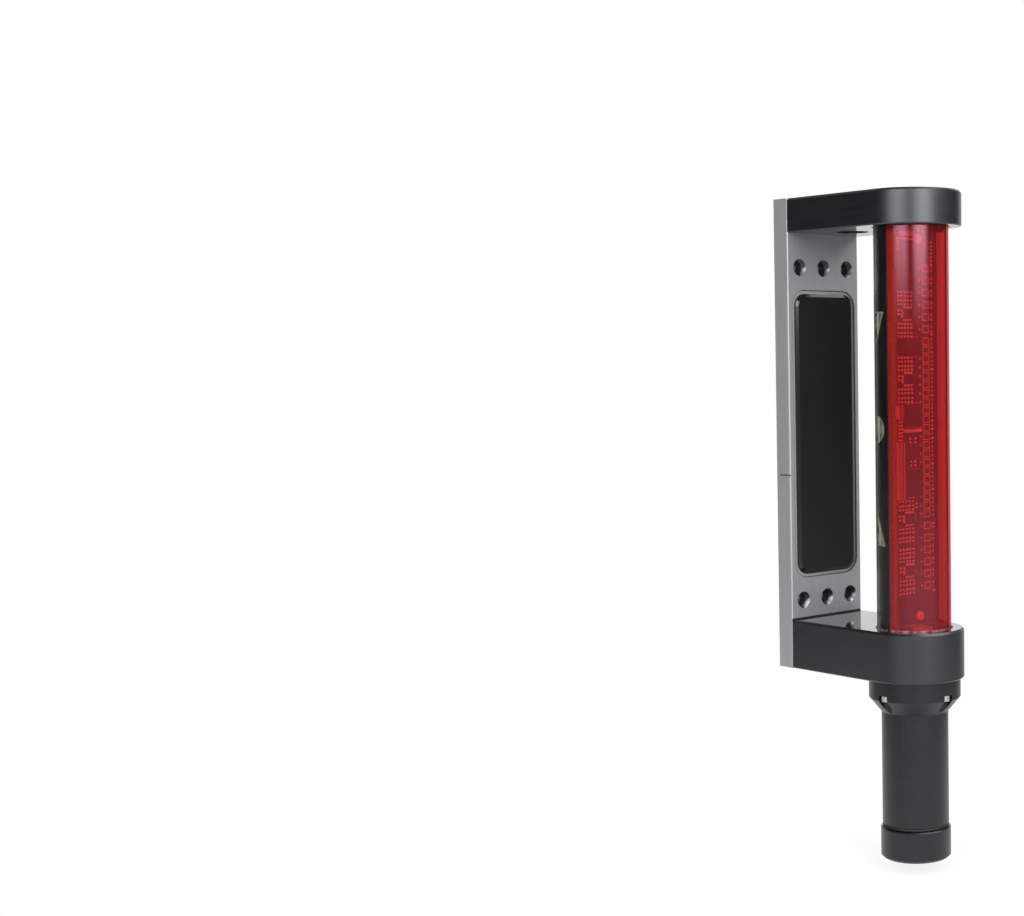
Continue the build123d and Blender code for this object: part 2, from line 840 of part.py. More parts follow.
def make_battery_cells():
    """Three round cells, alternate ones upside down."""
    low = carrier_floor + carrier_plate + bridge_thickness + cell_end_gap
    high = low + cell_length
    cells = []
    for index, (x, y) in enumerate(cell_places()):
        nub_low, nub_high = (high - cell_nub_height, high) if index % 2 else (low, low + cell_nub_height)
        can_low, can_high = (low, nub_low) if index % 2 else (nub_high, high)
        can = round_bar(cell_d / 2, can_low, can_high, x, y)
        cells.append(can + round_bar(cell_nub_d / 2, nub_low, nub_high, x, y))
    return cells


def bridge_pair(floor, single):
    """The plates at one end disc: one joins two cells, and one serves the single cell."""
    places = cell_places()
    first, second = [place for index, place in enumerate(places) if index != single]
    span = hypot(second[0] - first[0], second[1] - first[1])
    middle = ((first[0] + second[0]) / 2, (first[1] + second[1]) / 2, floor)
    along = (second[0] - first[0], second[1] - first[1], 0)
    plate = extrude(SlotCenterToCenter(span, bridge_width), bridge_thickness)
    joined = Plane(middle, x_dir=along, z_dir=(0, 0, 1)) * plate
    return [joined, round_bar(bridge_width / 2, floor, floor + bridge_thickness, *places[single])]


def make_cell_bridges():
    """The thin contact plates on the carrier's end discs."""
    lower_seat = carrier_floor + carrier_plate
    upper_seat = carrier_top - carrier_plate - bridge_thickness
    return bridge_pair(lower_seat, 0) + bridge_pair(upper_seat, cell_count - 1)


def make_battery_cap():
    """The cap: a round grip, a hollow spigot that screws into the tube, and a coin slot below."""
    body = round_bar(cap_d / 2, cap_bottom, cap_top)
    body = chamfer(body.edges().sort_by(Axis.Z)[0], cap_chamfer)
    body = chamfer(body.edges().sort_by(Axis.Z)[-1], cap_shoulder)
    body += round_bar(spigot_r, cap_top, cap_top + spigot_length)
    body -= round_bar(spigot_r - spigot_wall, cap_inside_floor, cap_top + spigot_length)
    half = coin_slot_width / 2
    reach = coin_slot_length / 2
    slot_rows = (axis_y - half, axis_y + half)
    return body - slab((-reach, reach), slot_rows, (cap_bottom, cap_bottom + coin_slot_depth))


def make_cap_o_ring():
    """The ring on the cap's spigot, in the groove between tube and cap."""
    major = spigot_r + o_ring_clearance + o_ring_section / 2
    middle = cap_top + o_ring_clearance + o_ring_section / 2
    section = Pos(major, middle) * RegularPolygon(o_ring_section / 2, o_ring_sides)
    return Pos(0, axis_y, 0) * revolve(Plane.XZ * section, Axis.Z)


def make_cap_spring():
    """A zigzag leaf between the cap's floor and the carrier."""
    half = spring_length / 2
    low = cap_inside_floor + spring_thickness / 2
    high = carrier_floor - spring_gap - spring_thickness / 2
    middle = (low + high) / 2
    route = [(-half, low), (half, low), (-half, middle), (half, high), (-half, high)]
    bend_r = spring_thickness * 2
    path = FilletPolyline(*[(x, axis_y, z) for x, z in route], radius=bend_r)
    start = Plane(origin=path @ 0, x_dir=(0, 1, 0), z_dir=path % 0)
    return sweep(start * Rectangle(spring_width, spring_thickness), path=path)


def pieces():
    """Every node's name and its solid or list of solids."""
    seal_levels = ((upper_arm_floor + tube_top) / 2, (lower_arm_top + tube_bottom) / 2)
    return {
        "back_plate": make_back_plate(),
        "name_inlay": make_name_inlay(),
        "upper_arm": make_upper_arm(),
        "lower_arm": make_lower_arm(),
        "arm_screws": make_arm_screws(),
        "window_tube": make_window_tube(),
        "red_filter": make_red_filter(),
        "display_mask": make_display_mask(),
        "down_arrow_panes": make_panes("down"),
        "centre_dot_panes": make_panes("dot"),
        "up_arrow_panes": make_panes("up"),
        "upper_tube_seal": make_tube_seal(seal_levels[0]),
        "lower_tube_seal": make_tube_seal(seal_levels[1]),
        "sensor_board": make_sensor_board(),
        "photodiodes": make_photodiodes(),
        "board_chips": make_board_chips(),
        "amplifier_chips": make_amplifier_chips(),
        "board_regulator": make_board_regulator(),
        "board_crystal": make_board_crystal(),
        "board_connector": make_board_connector(),
        "board_header": make_board_header(),
        "display_board_left": display_board_slab(1, 0, board_low, board_high),
        "display_board_right": display_board_slab(-1, 0, board_low, board_high),
        "display_leds_left": make_display_leds(1),
        "display_leds_right": make_display_leds(-1),
        "upper_board_block": make_board_block(tube_top, upper_block_face, -1),
        "lower_board_block": make_board_block(tube_bottom, lower_block_face, 1),
        "board_screws": make_board_screws(),
        "lead_sockets": make_lead_sockets(),
        "supply_lead": make_supply_lead(),
        "switch_lead": make_switch_lead(),
        "power_button": make_power_button(),
        "button_bezel": make_button_bezel(),
        "button_seal": make_button_seal(),
        "button_switch": make_button_switch(),
        "battery_tube": make_battery_tube(),
        "collar_seal": make_collar_seal(),
        "collar_screws": make_collar_screws(),
        "contact_block": make_contact_block(),
        "contact_block_screws": make_contact_block_screws(),
        "cell_contacts": make_cell_contacts(),
        "cell_carrier": make_cell_carrier(),
        "battery_cells": make_battery_cells(),
        "cell_bridges": make_cell_bridges(),
        "battery_cap": make_battery_cap(),
        "cap_o_ring": make_cap_o_ring(),
        "cap_spring": make_cap_spring(),
    }


os.makedirs("parts", exist_ok=True)
for node, shape in pieces().items():
    solids = shape if isinstance(shape, list) else [shape]
    export_step(Compound([solid for item in solids for solid in item.solids()]), f"parts/{node}.step")
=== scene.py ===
import math

import bmesh
import bpy
from bpy.props import FloatProperty, FloatVectorProperty, IntProperty, PointerProperty
from mathutils import Matrix, Vector


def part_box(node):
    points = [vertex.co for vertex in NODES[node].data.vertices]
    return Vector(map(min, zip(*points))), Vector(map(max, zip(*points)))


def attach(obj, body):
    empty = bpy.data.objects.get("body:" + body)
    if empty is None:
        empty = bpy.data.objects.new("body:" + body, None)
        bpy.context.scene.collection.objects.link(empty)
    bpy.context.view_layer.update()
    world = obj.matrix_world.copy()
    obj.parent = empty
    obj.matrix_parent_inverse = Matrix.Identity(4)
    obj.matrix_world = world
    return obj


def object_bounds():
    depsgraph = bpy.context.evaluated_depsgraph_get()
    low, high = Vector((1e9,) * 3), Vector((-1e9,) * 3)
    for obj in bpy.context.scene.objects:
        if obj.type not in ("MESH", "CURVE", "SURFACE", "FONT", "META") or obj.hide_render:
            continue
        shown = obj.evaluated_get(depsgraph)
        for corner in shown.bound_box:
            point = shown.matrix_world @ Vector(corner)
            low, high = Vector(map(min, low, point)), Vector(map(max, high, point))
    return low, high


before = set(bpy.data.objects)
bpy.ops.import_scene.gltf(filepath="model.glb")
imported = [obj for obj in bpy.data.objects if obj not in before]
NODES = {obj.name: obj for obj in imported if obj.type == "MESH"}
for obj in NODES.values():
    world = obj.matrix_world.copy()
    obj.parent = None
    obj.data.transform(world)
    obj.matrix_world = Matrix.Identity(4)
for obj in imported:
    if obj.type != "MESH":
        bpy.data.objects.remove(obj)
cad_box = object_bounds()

bl_info = {
    "name": "Laser receiver dressing",
    "version": (1, 0, 0),
    "blender": (4, 5, 0),
    "location": "View3D > Sidebar > Receiver",
    "description": "Finishes, board details and studio of an upright laser receiver",
    "category": "Object",
}

MM = 0.001

# Places read from the solids, in metres.
TUBE_LOW, TUBE_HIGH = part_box("window_tube")
TUBE_Y = (TUBE_LOW.y + TUBE_HIGH.y) / 2
TUBE_R = TUBE_HIGH.x
FILM_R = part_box("display_mask")[1].x
BOARD_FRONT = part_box("sensor_board")[0].y
DIODE_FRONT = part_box("photodiodes")[0].y
PLATE_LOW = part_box("back_plate")[0]
CAP_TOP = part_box("battery_cap")[1].z
LOWER_ARM_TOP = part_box("lower_arm")[1].z
INLAY_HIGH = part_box("name_inlay")[1]

# Sizes of the solids' features that a finish or a piece follows.
INLAY_CORNER = 7.0 * MM
INLAY_BEVEL = 1.7 * MM
RECESS_CORNER = 9.0 * MM
RECESS_DEPTH = 0.8 * MM
RECESS_HALF = 80.0 * MM
INDEX_Z = -22.2 * MM
INDEX_HALF = 0.42 * MM
INDEX_DEPTH = 0.45 * MM
INDEX_BACK_Y = -2.8 * MM
HOLE_PITCH = 18.0 * MM
HOLE_ROW_Z = 92.1 * MM
SINK_R = 4.65 * MM
SINK_BACK_Y = -5.0 * MM
ARROW_HALF = 8.0 * MM
SPIGOT_R = 16.1 * MM

# Angles round the tube from its front.
RED_BORDER = (math.radians(66.0), math.radians(76.0))
WALL_BLACK_FROM = math.radians(88.0)
RED_OVERLAP_FROM = math.radians(89.6)
# Where the painted highlight runs upright across the display panes, and how it fades.
PANE_HIGHLIGHT = math.radians(114.0)
PANE_HIGHLIGHT_FADE = (math.radians(1.5), math.radians(5.5))
SYMBOL_MIDDLE = math.radians(121.3)
WALL_BEND = math.radians(5.5)

# Tolerances of the modelling.
WELD = 0.005 * MM
TOUCH = 0.01 * MM
SOLDER_SINK = 0.04 * MM
SMOOTH_ANGLE = math.radians(35.0)

SYMBOLS = (("down_arrow_panes", -1), ("centre_dot_panes", 0), ("up_arrow_panes", 1))


def length(name, description, millimetres):
    """A length property whose default is given in millimetres."""
    return FloatProperty(name=name, description=description, default=millimetres * MM,
                         min=0.0, precision=5, unit="LENGTH")


def colour(name, description, red, green, blue):
    """A colour property in linear values."""
    return FloatVectorProperty(name=name, description=description, default=(red, green, blue),
                               size=3, min=0.0, max=1.0, subtype="COLOR")


def angle(name, description, degrees):
    """An angle property whose default is given in degrees."""
    return FloatProperty(name=name, description=description, default=math.radians(degrees),
                         unit="ROTATION")


def level(name, description, value):
    """A plain number property."""
    return FloatProperty(name=name, description=description, default=value)


class ReceiverSizes(bpy.types.PropertyGroup):
    """Sizes of the small pieces added to the CAD solids."""

    pad_width: length("Solder end width", "Width of a small part's solder end", 1.05)
    pad_height: length("Solder end height", "Height of a small part's solder end", 1.2)
    pad_rise: length("Solder end rise", "How far a solder end stands off the board", 0.55)
    part_pitch: length("Small part pitch", "Distance between a small part's two solder ends", 2.0)
    diode_pad_width: length("Photodiode pad width", "Width of the pad beside a photodiode", 1.3)
    diode_pad_height: length("Photodiode pad height", "Height of the pad beside a photodiode", 1.5)
    via_d: length("Via diameter", "Outside diameter of a plated hole", 1.35)
    test_pad_width: length("Test pad width", "Width of a test pad at the right edge", 1.9)
    test_pad_height: length("Test pad height", "Height of a test pad at the right edge", 1.1)
    leg_width: length("Leg width", "Width of a chip's leg", 0.8)
    leg_reach: length("Leg reach", "How far a chip's leg stands out", 1.2)
    leg_pitch: length("Leg pitch", "Distance between the legs of a chip", 1.1)
    tail_pitch: length("Tail pitch", "Distance between the tails of the plug strip", 1.27)
    thread_pitch: length("Thread pitch", "Pitch of the cap's thread", 2.0)
    thread_depth: length("Thread depth", "Height of the thread's ridge on the spigot", 0.22)
    thread_turns: IntProperty(name="Thread turns", description="Turns of the cap's thread",
                              default=3, min=1)


class ReceiverColours(bpy.types.PropertyGroup):
    """Colours of the finishes."""

    silver: colour("Silver", "Natural anodised plate", 0.52, 0.525, 0.545)
    recess: colour("Recess", "Floor of the plate's recess", 0.50, 0.505, 0.46)
    black: colour("Black", "Black anodised metal", 0.0004, 0.0004, 0.0008)
    black_worn: colour("Worn black", "Palest grain of the black metal", 0.0098, 0.0102, 0.0118)
    inlay: colour("Inlay", "Gloss inlay in the plate", 0.011, 0.0095, 0.010)
    steel: colour("Steel", "Bright screws", 0.66, 0.66, 0.67)
    film: colour("Window film", "Surface colour of the red film", 0.58, 0.016, 0.018)
    film_border: colour("Window border", "Dull border of the red film", 0.60, 0.05, 0.035)
    film_glass: colour("Window tint", "What one face of the film lets through", 0.82, 0.385, 0.38)
    mask: colour("Display film", "Black display film", 0.006, 0.006, 0.007)
    # Painted light: the tone of the glow painted along the edge of the tube's black side.
    painted_wall_glow: colour("Wall glow", "Light carried in the clear wall's edge", 0.13, 0.13, 0.135)
    pane: colour("Display pane", "Middle of a display pane", 0.20, 0.205, 0.165)
    pane_shade: colour("Pane shade", "Dark clouds in a display pane", 0.045, 0.05, 0.038)
    # Painted highlight: the tone of the pale upright band across the display panes.
    painted_pane_highlight: colour("Pane band", "Pale upright band in a display pane", 0.40, 0.40, 0.37)
    pane_rim: colour("Pane rim", "Rim of a display pane", 0.19, 0.185, 0.10)
    board: colour("Board", "Solder mask of the sensor board", 0.07, 0.064, 0.028)
    display_board: colour("Display board", "White mask of the display boards", 0.68, 0.66, 0.6)
    copper: colour("Track", "Tracks under the solder mask", 0.16, 0.14, 0.07)
    solder: colour("Solder", "Solder and plated pads", 0.97, 0.96, 0.94)
    diode: colour("Photodiode", "Sensing face of a photodiode", 0.14, 0.11, 0.115)
    diode_frame: colour("Photodiode frame", "Pale frame of a photodiode", 0.54, 0.50, 0.46)
    chip: colour("Chip", "Chip mouldings", 0.028, 0.027, 0.028)
    plug: colour("Plug", "Plug strip and sockets", 0.62, 0.58, 0.48)
    rubber: colour("Rubber", "Seals and button", 0.014, 0.014, 0.015)
    moulding: colour("Moulding", "Black mouldings", 0.026, 0.026, 0.028)
    pale_moulding: colour("Pale moulding", "Pale plugs that hold the boards", 0.42, 0.40, 0.36)
    nickel: colour("Nickel", "Nickel plated contacts", 0.62, 0.58, 0.48)
    sleeve: colour("Cell sleeve", "Dark sleeve of a cell", 0.055, 0.06, 0.07)
    cell_band: colour("Cell band", "Pale band round a cell", 0.34, 0.25, 0.12)
    lead: colour("Lead", "Sleeve of the leads", 0.30, 0.02, 0.02)
    led: colour("LED", "Clear body of a display LED", 0.62, 0.66, 0.50)


class ReceiverStage(bpy.types.PropertyGroup):
    """Camera, lamps and floor."""

    camera_place: FloatVectorProperty(
        name="Camera place", description="Where the camera stands", unit="LENGTH",
        default=(-0.665234, -0.712521, 0.038792), subtype="TRANSLATION")
    camera_turn: FloatVectorProperty(
        name="Camera turn", description="How the camera is turned", unit="ROTATION",
        default=tuple(math.radians(v) for v in (86.033, 0.6006, -45.0206)), subtype="EULER")
    camera_lens: level("Lens", "Focal length in millimetres", 60.5105)
    camera_shift: FloatVectorProperty(
        name="Shift", description="Sideways and upward shift of the lens", size=2,
        default=(-0.35, 0.0246))
    floor_half: length("Floor half width", "Half the width of the floor", 350.0)
    floor_drop: length("Floor drop", "From the foot to the floor, clear of the lowered cap", 8.5)
    box_distance: length("Softbox distance", "From the tube to each softbox", 1500.0)
    box_width: length("Softbox width", "Width of each softbox", 1650.0)
    box_height: length("Softbox height", "Height of each softbox", 900.0)
    box_foot: length("Softbox foot", "Height of each softbox's lower edge", 65.0)
    left_azimuth: angle("Left azimuth", "Where the left softbox stands", 77.0)
    right_azimuth: angle("Right azimuth", "Where the right softbox stands", 18.0)
    left_light: level("Left softbox", "Radiance of the left softbox", 5.2)
    right_light: level("Right softbox", "Radiance of the right softbox", 6.8)
    ambient: level("Ambient", "Even light from all round", 0.42)
    dark_side: level("Dark side", "What gloss sees at the unlit sides", 0.015)
    front_level: level("Front level", "What gloss sees in front", 0.22)
    backdrop: level("Backdrop", "What gloss sees behind", 0.95)
    overhead: level("Overhead", "What gloss sees of the lamp overhead", 3.0)
    zenith: level("Zenith", "What gloss sees straight above", 0.25)
    fill: level("Fill", "What gloss sees at the right", 0.13)


def sizes():
    """The size settings of the open scene."""
    return bpy.context.scene.receiver_sizes


def colours(name):
    """One colour setting with its alpha, for a shader's socket."""
    return (*getattr(bpy.context.scene.receiver_colours, name), 1.0)


def grey(value):
    """A neutral colour for a shader's socket."""
    return (value, value, value, 1.0)


# Shaders


class Wire:
    """An output socket whose arithmetic adds Math nodes to its tree."""

    def __init__(self, finish, socket):
        self.finish = finish
        self.socket = socket

    def out(self, name):
        """Another output of the same node."""
        return Wire(self.finish, self.socket.node.outputs[name])

    def maths(self, operation, *values):
        """A Math node on this value and others."""
        return self.finish.maths(operation, self, *values)

    def __add__(self, other):
        return self.maths("ADD", other)

    __radd__ = __add__

    def __mul__(self, other):
        return self.maths("MULTIPLY", other)

    __rmul__ = __mul__

    def __sub__(self, other):
        return self.maths("SUBTRACT", other)

    def __rsub__(self, other):
        return self.finish.maths("SUBTRACT", other, self)

    def __truediv__(self, other):
        return self.maths("DIVIDE", other)

    def __pow__(self, other):
        return self.maths("POWER", other)

    def __abs__(self):
        return self.maths("ABSOLUTE")

    def __gt__(self, other):
        return self.maths("GREATER_THAN", other)

    def __lt__(self, other):
        return self.maths("LESS_THAN", other)

    def __or__(self, other):
        """The larger of two values."""
        return self.maths("MAXIMUM", other)


class Finish:
    """A node tree being wired: a material, the world or a lamp."""

    def __init__(self, owner):
        owner.use_nodes = True
        self.owner = owner
        self.tree = owner.node_tree
        self.tree.nodes.clear()

    def node(self, kind, settings=None, inputs=None, output=0):
        """Adds a node, sets its settings, then fills or links its sockets."""
        made = self.tree.nodes.new(kind)
        for name, value in (settings or {}).items():
            setattr(made, name, value)
        for name, value in (inputs or {}).items():
            if isinstance(value, Wire):
                self.tree.links.new(value.socket, made.inputs[name])
            else:
                made.inputs[name].default_value = value
        return Wire(self, made.outputs[output]) if len(made.outputs) else None

    def maths(self, operation, *values):
        """A Math node on values or wires."""
        return self.node("ShaderNodeMath", {"operation": operation}, dict(enumerate(values)))

    def split(self, vector):
        """The three parts of a vector."""
        parts = self.node("ShaderNodeSeparateXYZ", inputs={"Vector": vector})
        return parts.out("X"), parts.out("Y"), parts.out("Z")

    def place(self):
        """X, Y and Z of the shaded point, in metres."""
        return self.split(self.node("ShaderNodeTexCoord").out("Object"))

    def noise(self, scale, stretch=(1.0, 1.0, 1.0), detail=2.0):
        """Noise on object coordinates; scale is in grains per metre along each stretched axis."""
        point = self.node("ShaderNodeTexCoord").out("Object")
        point = self.node("ShaderNodeVectorMath", {"operation": "MULTIPLY"}, {0: point, 1: stretch})
        inputs = {"Vector": point, "Scale": scale, "Detail": detail}
        return self.node("ShaderNodeTexNoise", inputs=inputs)

    def step(self, value, low, high):
        """0 below low, 1 above high, and smooth between."""
        inputs = {"Value": value, "From Min": low, "From Max": high}
        return self.node("ShaderNodeMapRange", {"interpolation_type": "SMOOTHSTEP"}, inputs)

    def mix(self, factor, first, second):
        """A colour between two."""
        inputs = {0: factor, 6: first, 7: second}
        return self.node("ShaderNodeMix", {"data_type": "RGBA"}, inputs, output=2)

    def blend(self, factor, first, second):
        """A shader between two."""
        return self.node("ShaderNodeMixShader", inputs={0: factor, 1: first, 2: second})

    def clear(self, tint):
        """A shader that lets light straight through."""
        return self.node("ShaderNodeBsdfTransparent", inputs={"Color": tint})

    def bump(self, height, distance):
        """A normal bent by a height in units of distance."""
        return self.node("ShaderNodeBump", inputs={"Height": height, "Distance": distance})

    def surface(self, **sockets):
        """A Principled shader; a socket's name is given with its spaces as underscores."""
        inputs = {name.replace("_", " "): value for name, value in sockets.items()}
        return self.node("ShaderNodeBsdfPrincipled", inputs=inputs)

    def close(self, shader, kind="ShaderNodeOutputMaterial"):
        """Links the finished shader to the tree's output."""
        self.node(kind, inputs={0: shader})
        return self.owner

    def close_surface(self, **sockets):
        """Closes the tree with one Principled shader."""
        return self.close(self.surface(**sockets))


def new_finish(name):
    """An empty material to wire."""
    return Finish(bpy.data.materials.new(name))


def turn_from_front(tree, x, y):
    """The angle round the tube, 0 at its front and half a turn at its back, on either side."""
    return tree.maths("ARCTAN2", abs(x), TUBE_Y - y)


def silver_finish():
    """Natural anodised bar: upright grain, a painted index line, painted shade in the sinks, along
    the recess edge and at the joint with the lower arm, and a dull recess.
    """
    tree = new_finish("silver_anodised_plate")
    x, y, z = tree.place()
    face = PLATE_LOW.y
    grain = tree.noise(1.0, (6000.0, 6000.0, 60.0), 3.0)
    brushed = tree.noise(1.0, (1300.0, 1300.0, 11.0), 2.0)
    cloud = tree.noise(45.0)
    sink_x = tree.maths("WRAP", x, HOLE_PITCH / 2, -HOLE_PITCH / 2)
    sink_z = z - tree.maths("SIGN", z) * HOLE_ROW_Z
    sink = ((sink_x * sink_x + sink_z * sink_z) < SINK_R ** 2) * (y < SINK_BACK_Y)
    # Painted shade: the upper left of each countersink is darkened, so only a crescent at its lower
    # right stays bright.
    sink_shade = sink * (1 - tree.step(sink_x * 0.8 - sink_z * 0.6, 2.6 * MM, 4.0 * MM))
    line = (x < PLATE_LOW.x + INDEX_DEPTH) * (abs(z - INDEX_Z) < INDEX_HALF)
    line = line * (y < INDEX_BACK_Y)
    # Painted shade: a near-black band along the plate's foot, where it meets the lower arm's top.
    joint_shade = (y < face + 0.4 * MM) * (abs(z - LOWER_ARM_TOP) < 0.8 * MM)
    floor = (abs(y - (face + RECESS_DEPTH)) < 0.2 * MM) * (abs(z) < RECESS_HALF)
    # Painted shade: a thin dark line just outside the recess's rounded outline.
    beyond_x = (abs(x) - (INLAY_HIGH.x - INLAY_CORNER)) | 0.0
    beyond_z = (abs(z) - (INLAY_HIGH.z - INLAY_CORNER)) | 0.0
    rim = (beyond_x * beyond_x + beyond_z * beyond_z).maths("SQRT") - RECESS_CORNER
    rim = (abs(rim + 0.1 * MM) < 0.3 * MM) * (y < face + 1.0 * MM)
    tone = tree.mix(grain * 0.2 + cloud * 0.1, colours("silver"), (0.36, 0.365, 0.37, 1.0))
    tone = tree.mix(tree.step(brushed, 0.35, 0.65) * 0.22, tone, (0.33, 0.335, 0.34, 1.0))
    tone = tree.mix(floor, tone, colours("recess"))
    # Painted shade round the recess.
    tone = tree.mix(rim * 0.75, tone, grey(0.05))
    tone = tree.mix(line * 0.8, tone, grey(0.02))
    # Painted shade at the joint with the lower arm.
    tone = tree.mix(joint_shade, tone, grey(0.008))
    # Painted shade in the countersinks.
    tone = tree.mix(sink_shade * 0.95, tone, (0.02, 0.021, 0.023, 1.0))
    return tree.close_surface(
        Base_Color=tone, Metallic=0.62 * (1 - line) * (1 - floor * 0.5) * (1 - joint_shade),
        Roughness=0.40 + grain * 0.14 - sink * 0.12, Normal=tree.bump(grain, 0.012 * MM))


def black_finish(name, turned):
    """Black anodised metal, with turning marks or with the fine grain of a milled block."""
    tree = new_finish(name)
    around = 25.0 if turned else 60.0
    marks = tree.noise(1.0, (around, around, 1800.0), 2.0)
    grain = tree.noise(1900.0)
    cloud = tree.noise(70.0)
    share = 0.3 if turned else 0.45
    worn = tree.step(marks, 0.3, 0.7) * share + tree.step(grain, 0.3, 0.7) * (0.9 - share)
    tone = tree.mix(worn + cloud * 0.1, colours("black"), colours("black_worn"))
    lift = tree.split(tree.node("ShaderNodeTexCoord").out("Normal"))[2]
    level_face = tree.step(abs(lift), 0.7, 0.95)
    top_face = tree.step(lift, 0.7, 0.95)
    return tree.close_surface(
        Base_Color=tone, Roughness=0.30 + marks * 0.07 + cloud * 0.05 - level_face * 0.26,
        Normal=tree.bump(marks * 0.6 + grain * 0.4, 0.005 * MM), Coat_Weight=top_face * 0.7,
        Specular_IOR_Level=0.55 if turned else 1.0, Specular_Tint=(0.93, 0.955, 1.0, 1.0))


def inlay_finish():
    """Gloss black plastic with a trace of dust and a dull bevel at its foot."""
    tree = new_finish("gloss_inlay")
    z = tree.place()[2]
    speck = tree.step(tree.noise(900.0, detail=3.0), 0.62, 0.75)
    dull_foot = z < INLAY_BEVEL - INLAY_HIGH.z
    tone = tree.mix(speck * 0.25, colours("inlay"), (0.03, 0.028, 0.028, 1.0))
    return tree.close_surface(
        Base_Color=tone, Roughness=0.14 + speck * 0.1 + dull_foot * 0.5, Specular_IOR_Level=0.5)


def steel_finish(name, tone_name, roughness, metallic=1.0):
    """Bright metal with a fine random grain."""
    tree = new_finish(name)
    grain = tree.noise(7000.0)
    cloud = tree.noise(700.0)
    base = colours(tone_name)
    worn = tuple(v * 0.7 for v in base[:3]) + (1.0,)
    return tree.close_surface(
        Base_Color=tree.mix(cloud * 0.4, base, worn), Metallic=metallic,
        Roughness=roughness + grain * 0.12, Normal=tree.bump(grain, 0.006 * MM))


def clear_tube_finish():
    """Clear polished tube that bends light. Edge-on, its wall shows the film behind it, with a
    painted glow near the edge of the black side and painted glints at the foot.
    """
    tree = new_finish("clear_window_tube")
    x, y, z = tree.place()
    away = (x * x + (y - TUBE_Y) * (y - TUBE_Y)).maths("SQRT")
    outer = away > TUBE_R - 0.5 * MM
    turn = turn_from_front(tree, x, y)
    behind = turn > WALL_BLACK_FROM
    facing = tree.node("ShaderNodeLayerWeight", inputs={"Blend": 0.5}).out("Facing")

    def matt(tone):
        """A film seen through the wall."""
        return tree.surface(Base_Color=tone, Roughness=0.4, Specular_IOR_Level=0.0)

    glass = {"Color": grey(0.99), "Roughness": 0.0, "IOR": 1.49}
    bent = tree.node("ShaderNodeBsdfRefraction", inputs=glass)
    shadow = tree.node("ShaderNodeLightPath").out("Is Shadow Ray")
    through = tree.blend(shadow, bent, tree.clear(grey(0.985)))
    two_faces = tuple(v * v for v in colours("film_glass"))
    red = tree.blend(0.2, tree.clear(two_faces), matt(colours("film")))
    seen = turn + WALL_BEND
    # Painted light: a pale glow painted near the tube's edge on its black side, kept off the panes.
    glow = tree.step(facing, 0.56, 0.68) * (1 - tree.step(facing, 0.74, 0.95))
    tone = colours("mask")
    for nodes, pointing in SYMBOLS:
        depth = symbol_depth(tree, nodes, pointing, seen, z)
        tone = tree.mix(depth < 0.0, tone, pane_tone(tree, depth, seen))
        glow = glow * (depth > 0.0)
    # The black side with its painted edge glow.
    black = tree.blend(glow, matt(tone), matt(colours("painted_wall_glow")))
    limb = tree.step(facing, 0.53, 0.57) * outer
    wall = tree.blend(limb, through, tree.blend(behind, red, black))
    # Painted glints: pale pink patches in a thin band at the tube's foot.
    foot = (z < LOWER_ARM_TOP + 0.8 * MM) * tree.step(tree.noise(260.0), 0.3, 0.7) * outer
    painted_foot_glint = tree.surface(Base_Color=(0.62, 0.46, 0.48, 1.0), Roughness=0.5)
    wall = tree.blend(foot * 0.45, wall, painted_foot_glint)
    scuff = tree.step(tree.noise(1.0, (900.0, 900.0, 160.0), 4.0), 0.62, 0.8)
    shade = tree.mix(behind, (1.0, 0.46, 0.60, 1.0), grey(0.9))
    shine = tree.surface(Base_Color=shade, Metallic=1.0, Roughness=0.03 + scuff * 0.05)
    gloss = (0.04 + 0.03 * (1 - behind) + (0.5 + 0.46 * behind) * facing ** 5) * outer
    return tree.close(tree.blend(gloss, wall, shine))


def red_film_finish():
    """Red film: tinted glass with a little of its own colour, and a black overlap at its edge."""
    tree = new_finish("red_window_film")
    cloud = tree.noise(1.0, (160.0, 160.0, 40.0), 2.0)
    x, y, _ = tree.place()
    turn = turn_from_front(tree, x, y)
    border = tree.step(turn, *RED_BORDER)
    tone = tree.mix(border, colours("film"), colours("film_border"))
    skin = tree.surface(Base_Color=tone, Roughness=0.45, Specular_IOR_Level=0.2)
    veil = 0.05 + cloud * 0.04 + 0.115 * border
    film = tree.blend(veil, tree.clear(colours("film_glass")), skin)
    overlap = tree.surface(Base_Color=colours("mask"), Roughness=0.4, Specular_IOR_Level=0.1)
    return tree.close(tree.blend(turn > RED_OVERLAP_FROM, film, overlap))


def black_film_finish():
    """Black film behind the clear tube."""
    tree = new_finish("black_display_film")
    cloud = tree.noise(120.0)
    tone = tree.mix(cloud * 0.4, colours("mask"), (0.011, 0.011, 0.013, 1.0))
    return tree.close_surface(
        Base_Color=tone, Roughness=0.28 + cloud * 0.08, Specular_IOR_Level=0.08)


def symbol_depth(tree, nodes, pointing, turn, z):
    """How far a point lies outside a symbol; pointing is 1 for an up arrow, -1 down, 0 a dot."""
    low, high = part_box(nodes)
    half = (high.z - low.z) / 2
    rise = z - (low.z + high.z) / 2
    along = abs(FILM_R * (turn - SYMBOL_MIDDLE))
    if not pointing:
        return (along * along + rise * rise).maths("SQRT") - half
    slope = ARROW_HALF / (2 * half)
    side = along + (rise * pointing + half) * slope - ARROW_HALF
    return (side * (1 / math.hypot(1, slope))) | (rise * -pointing - half)


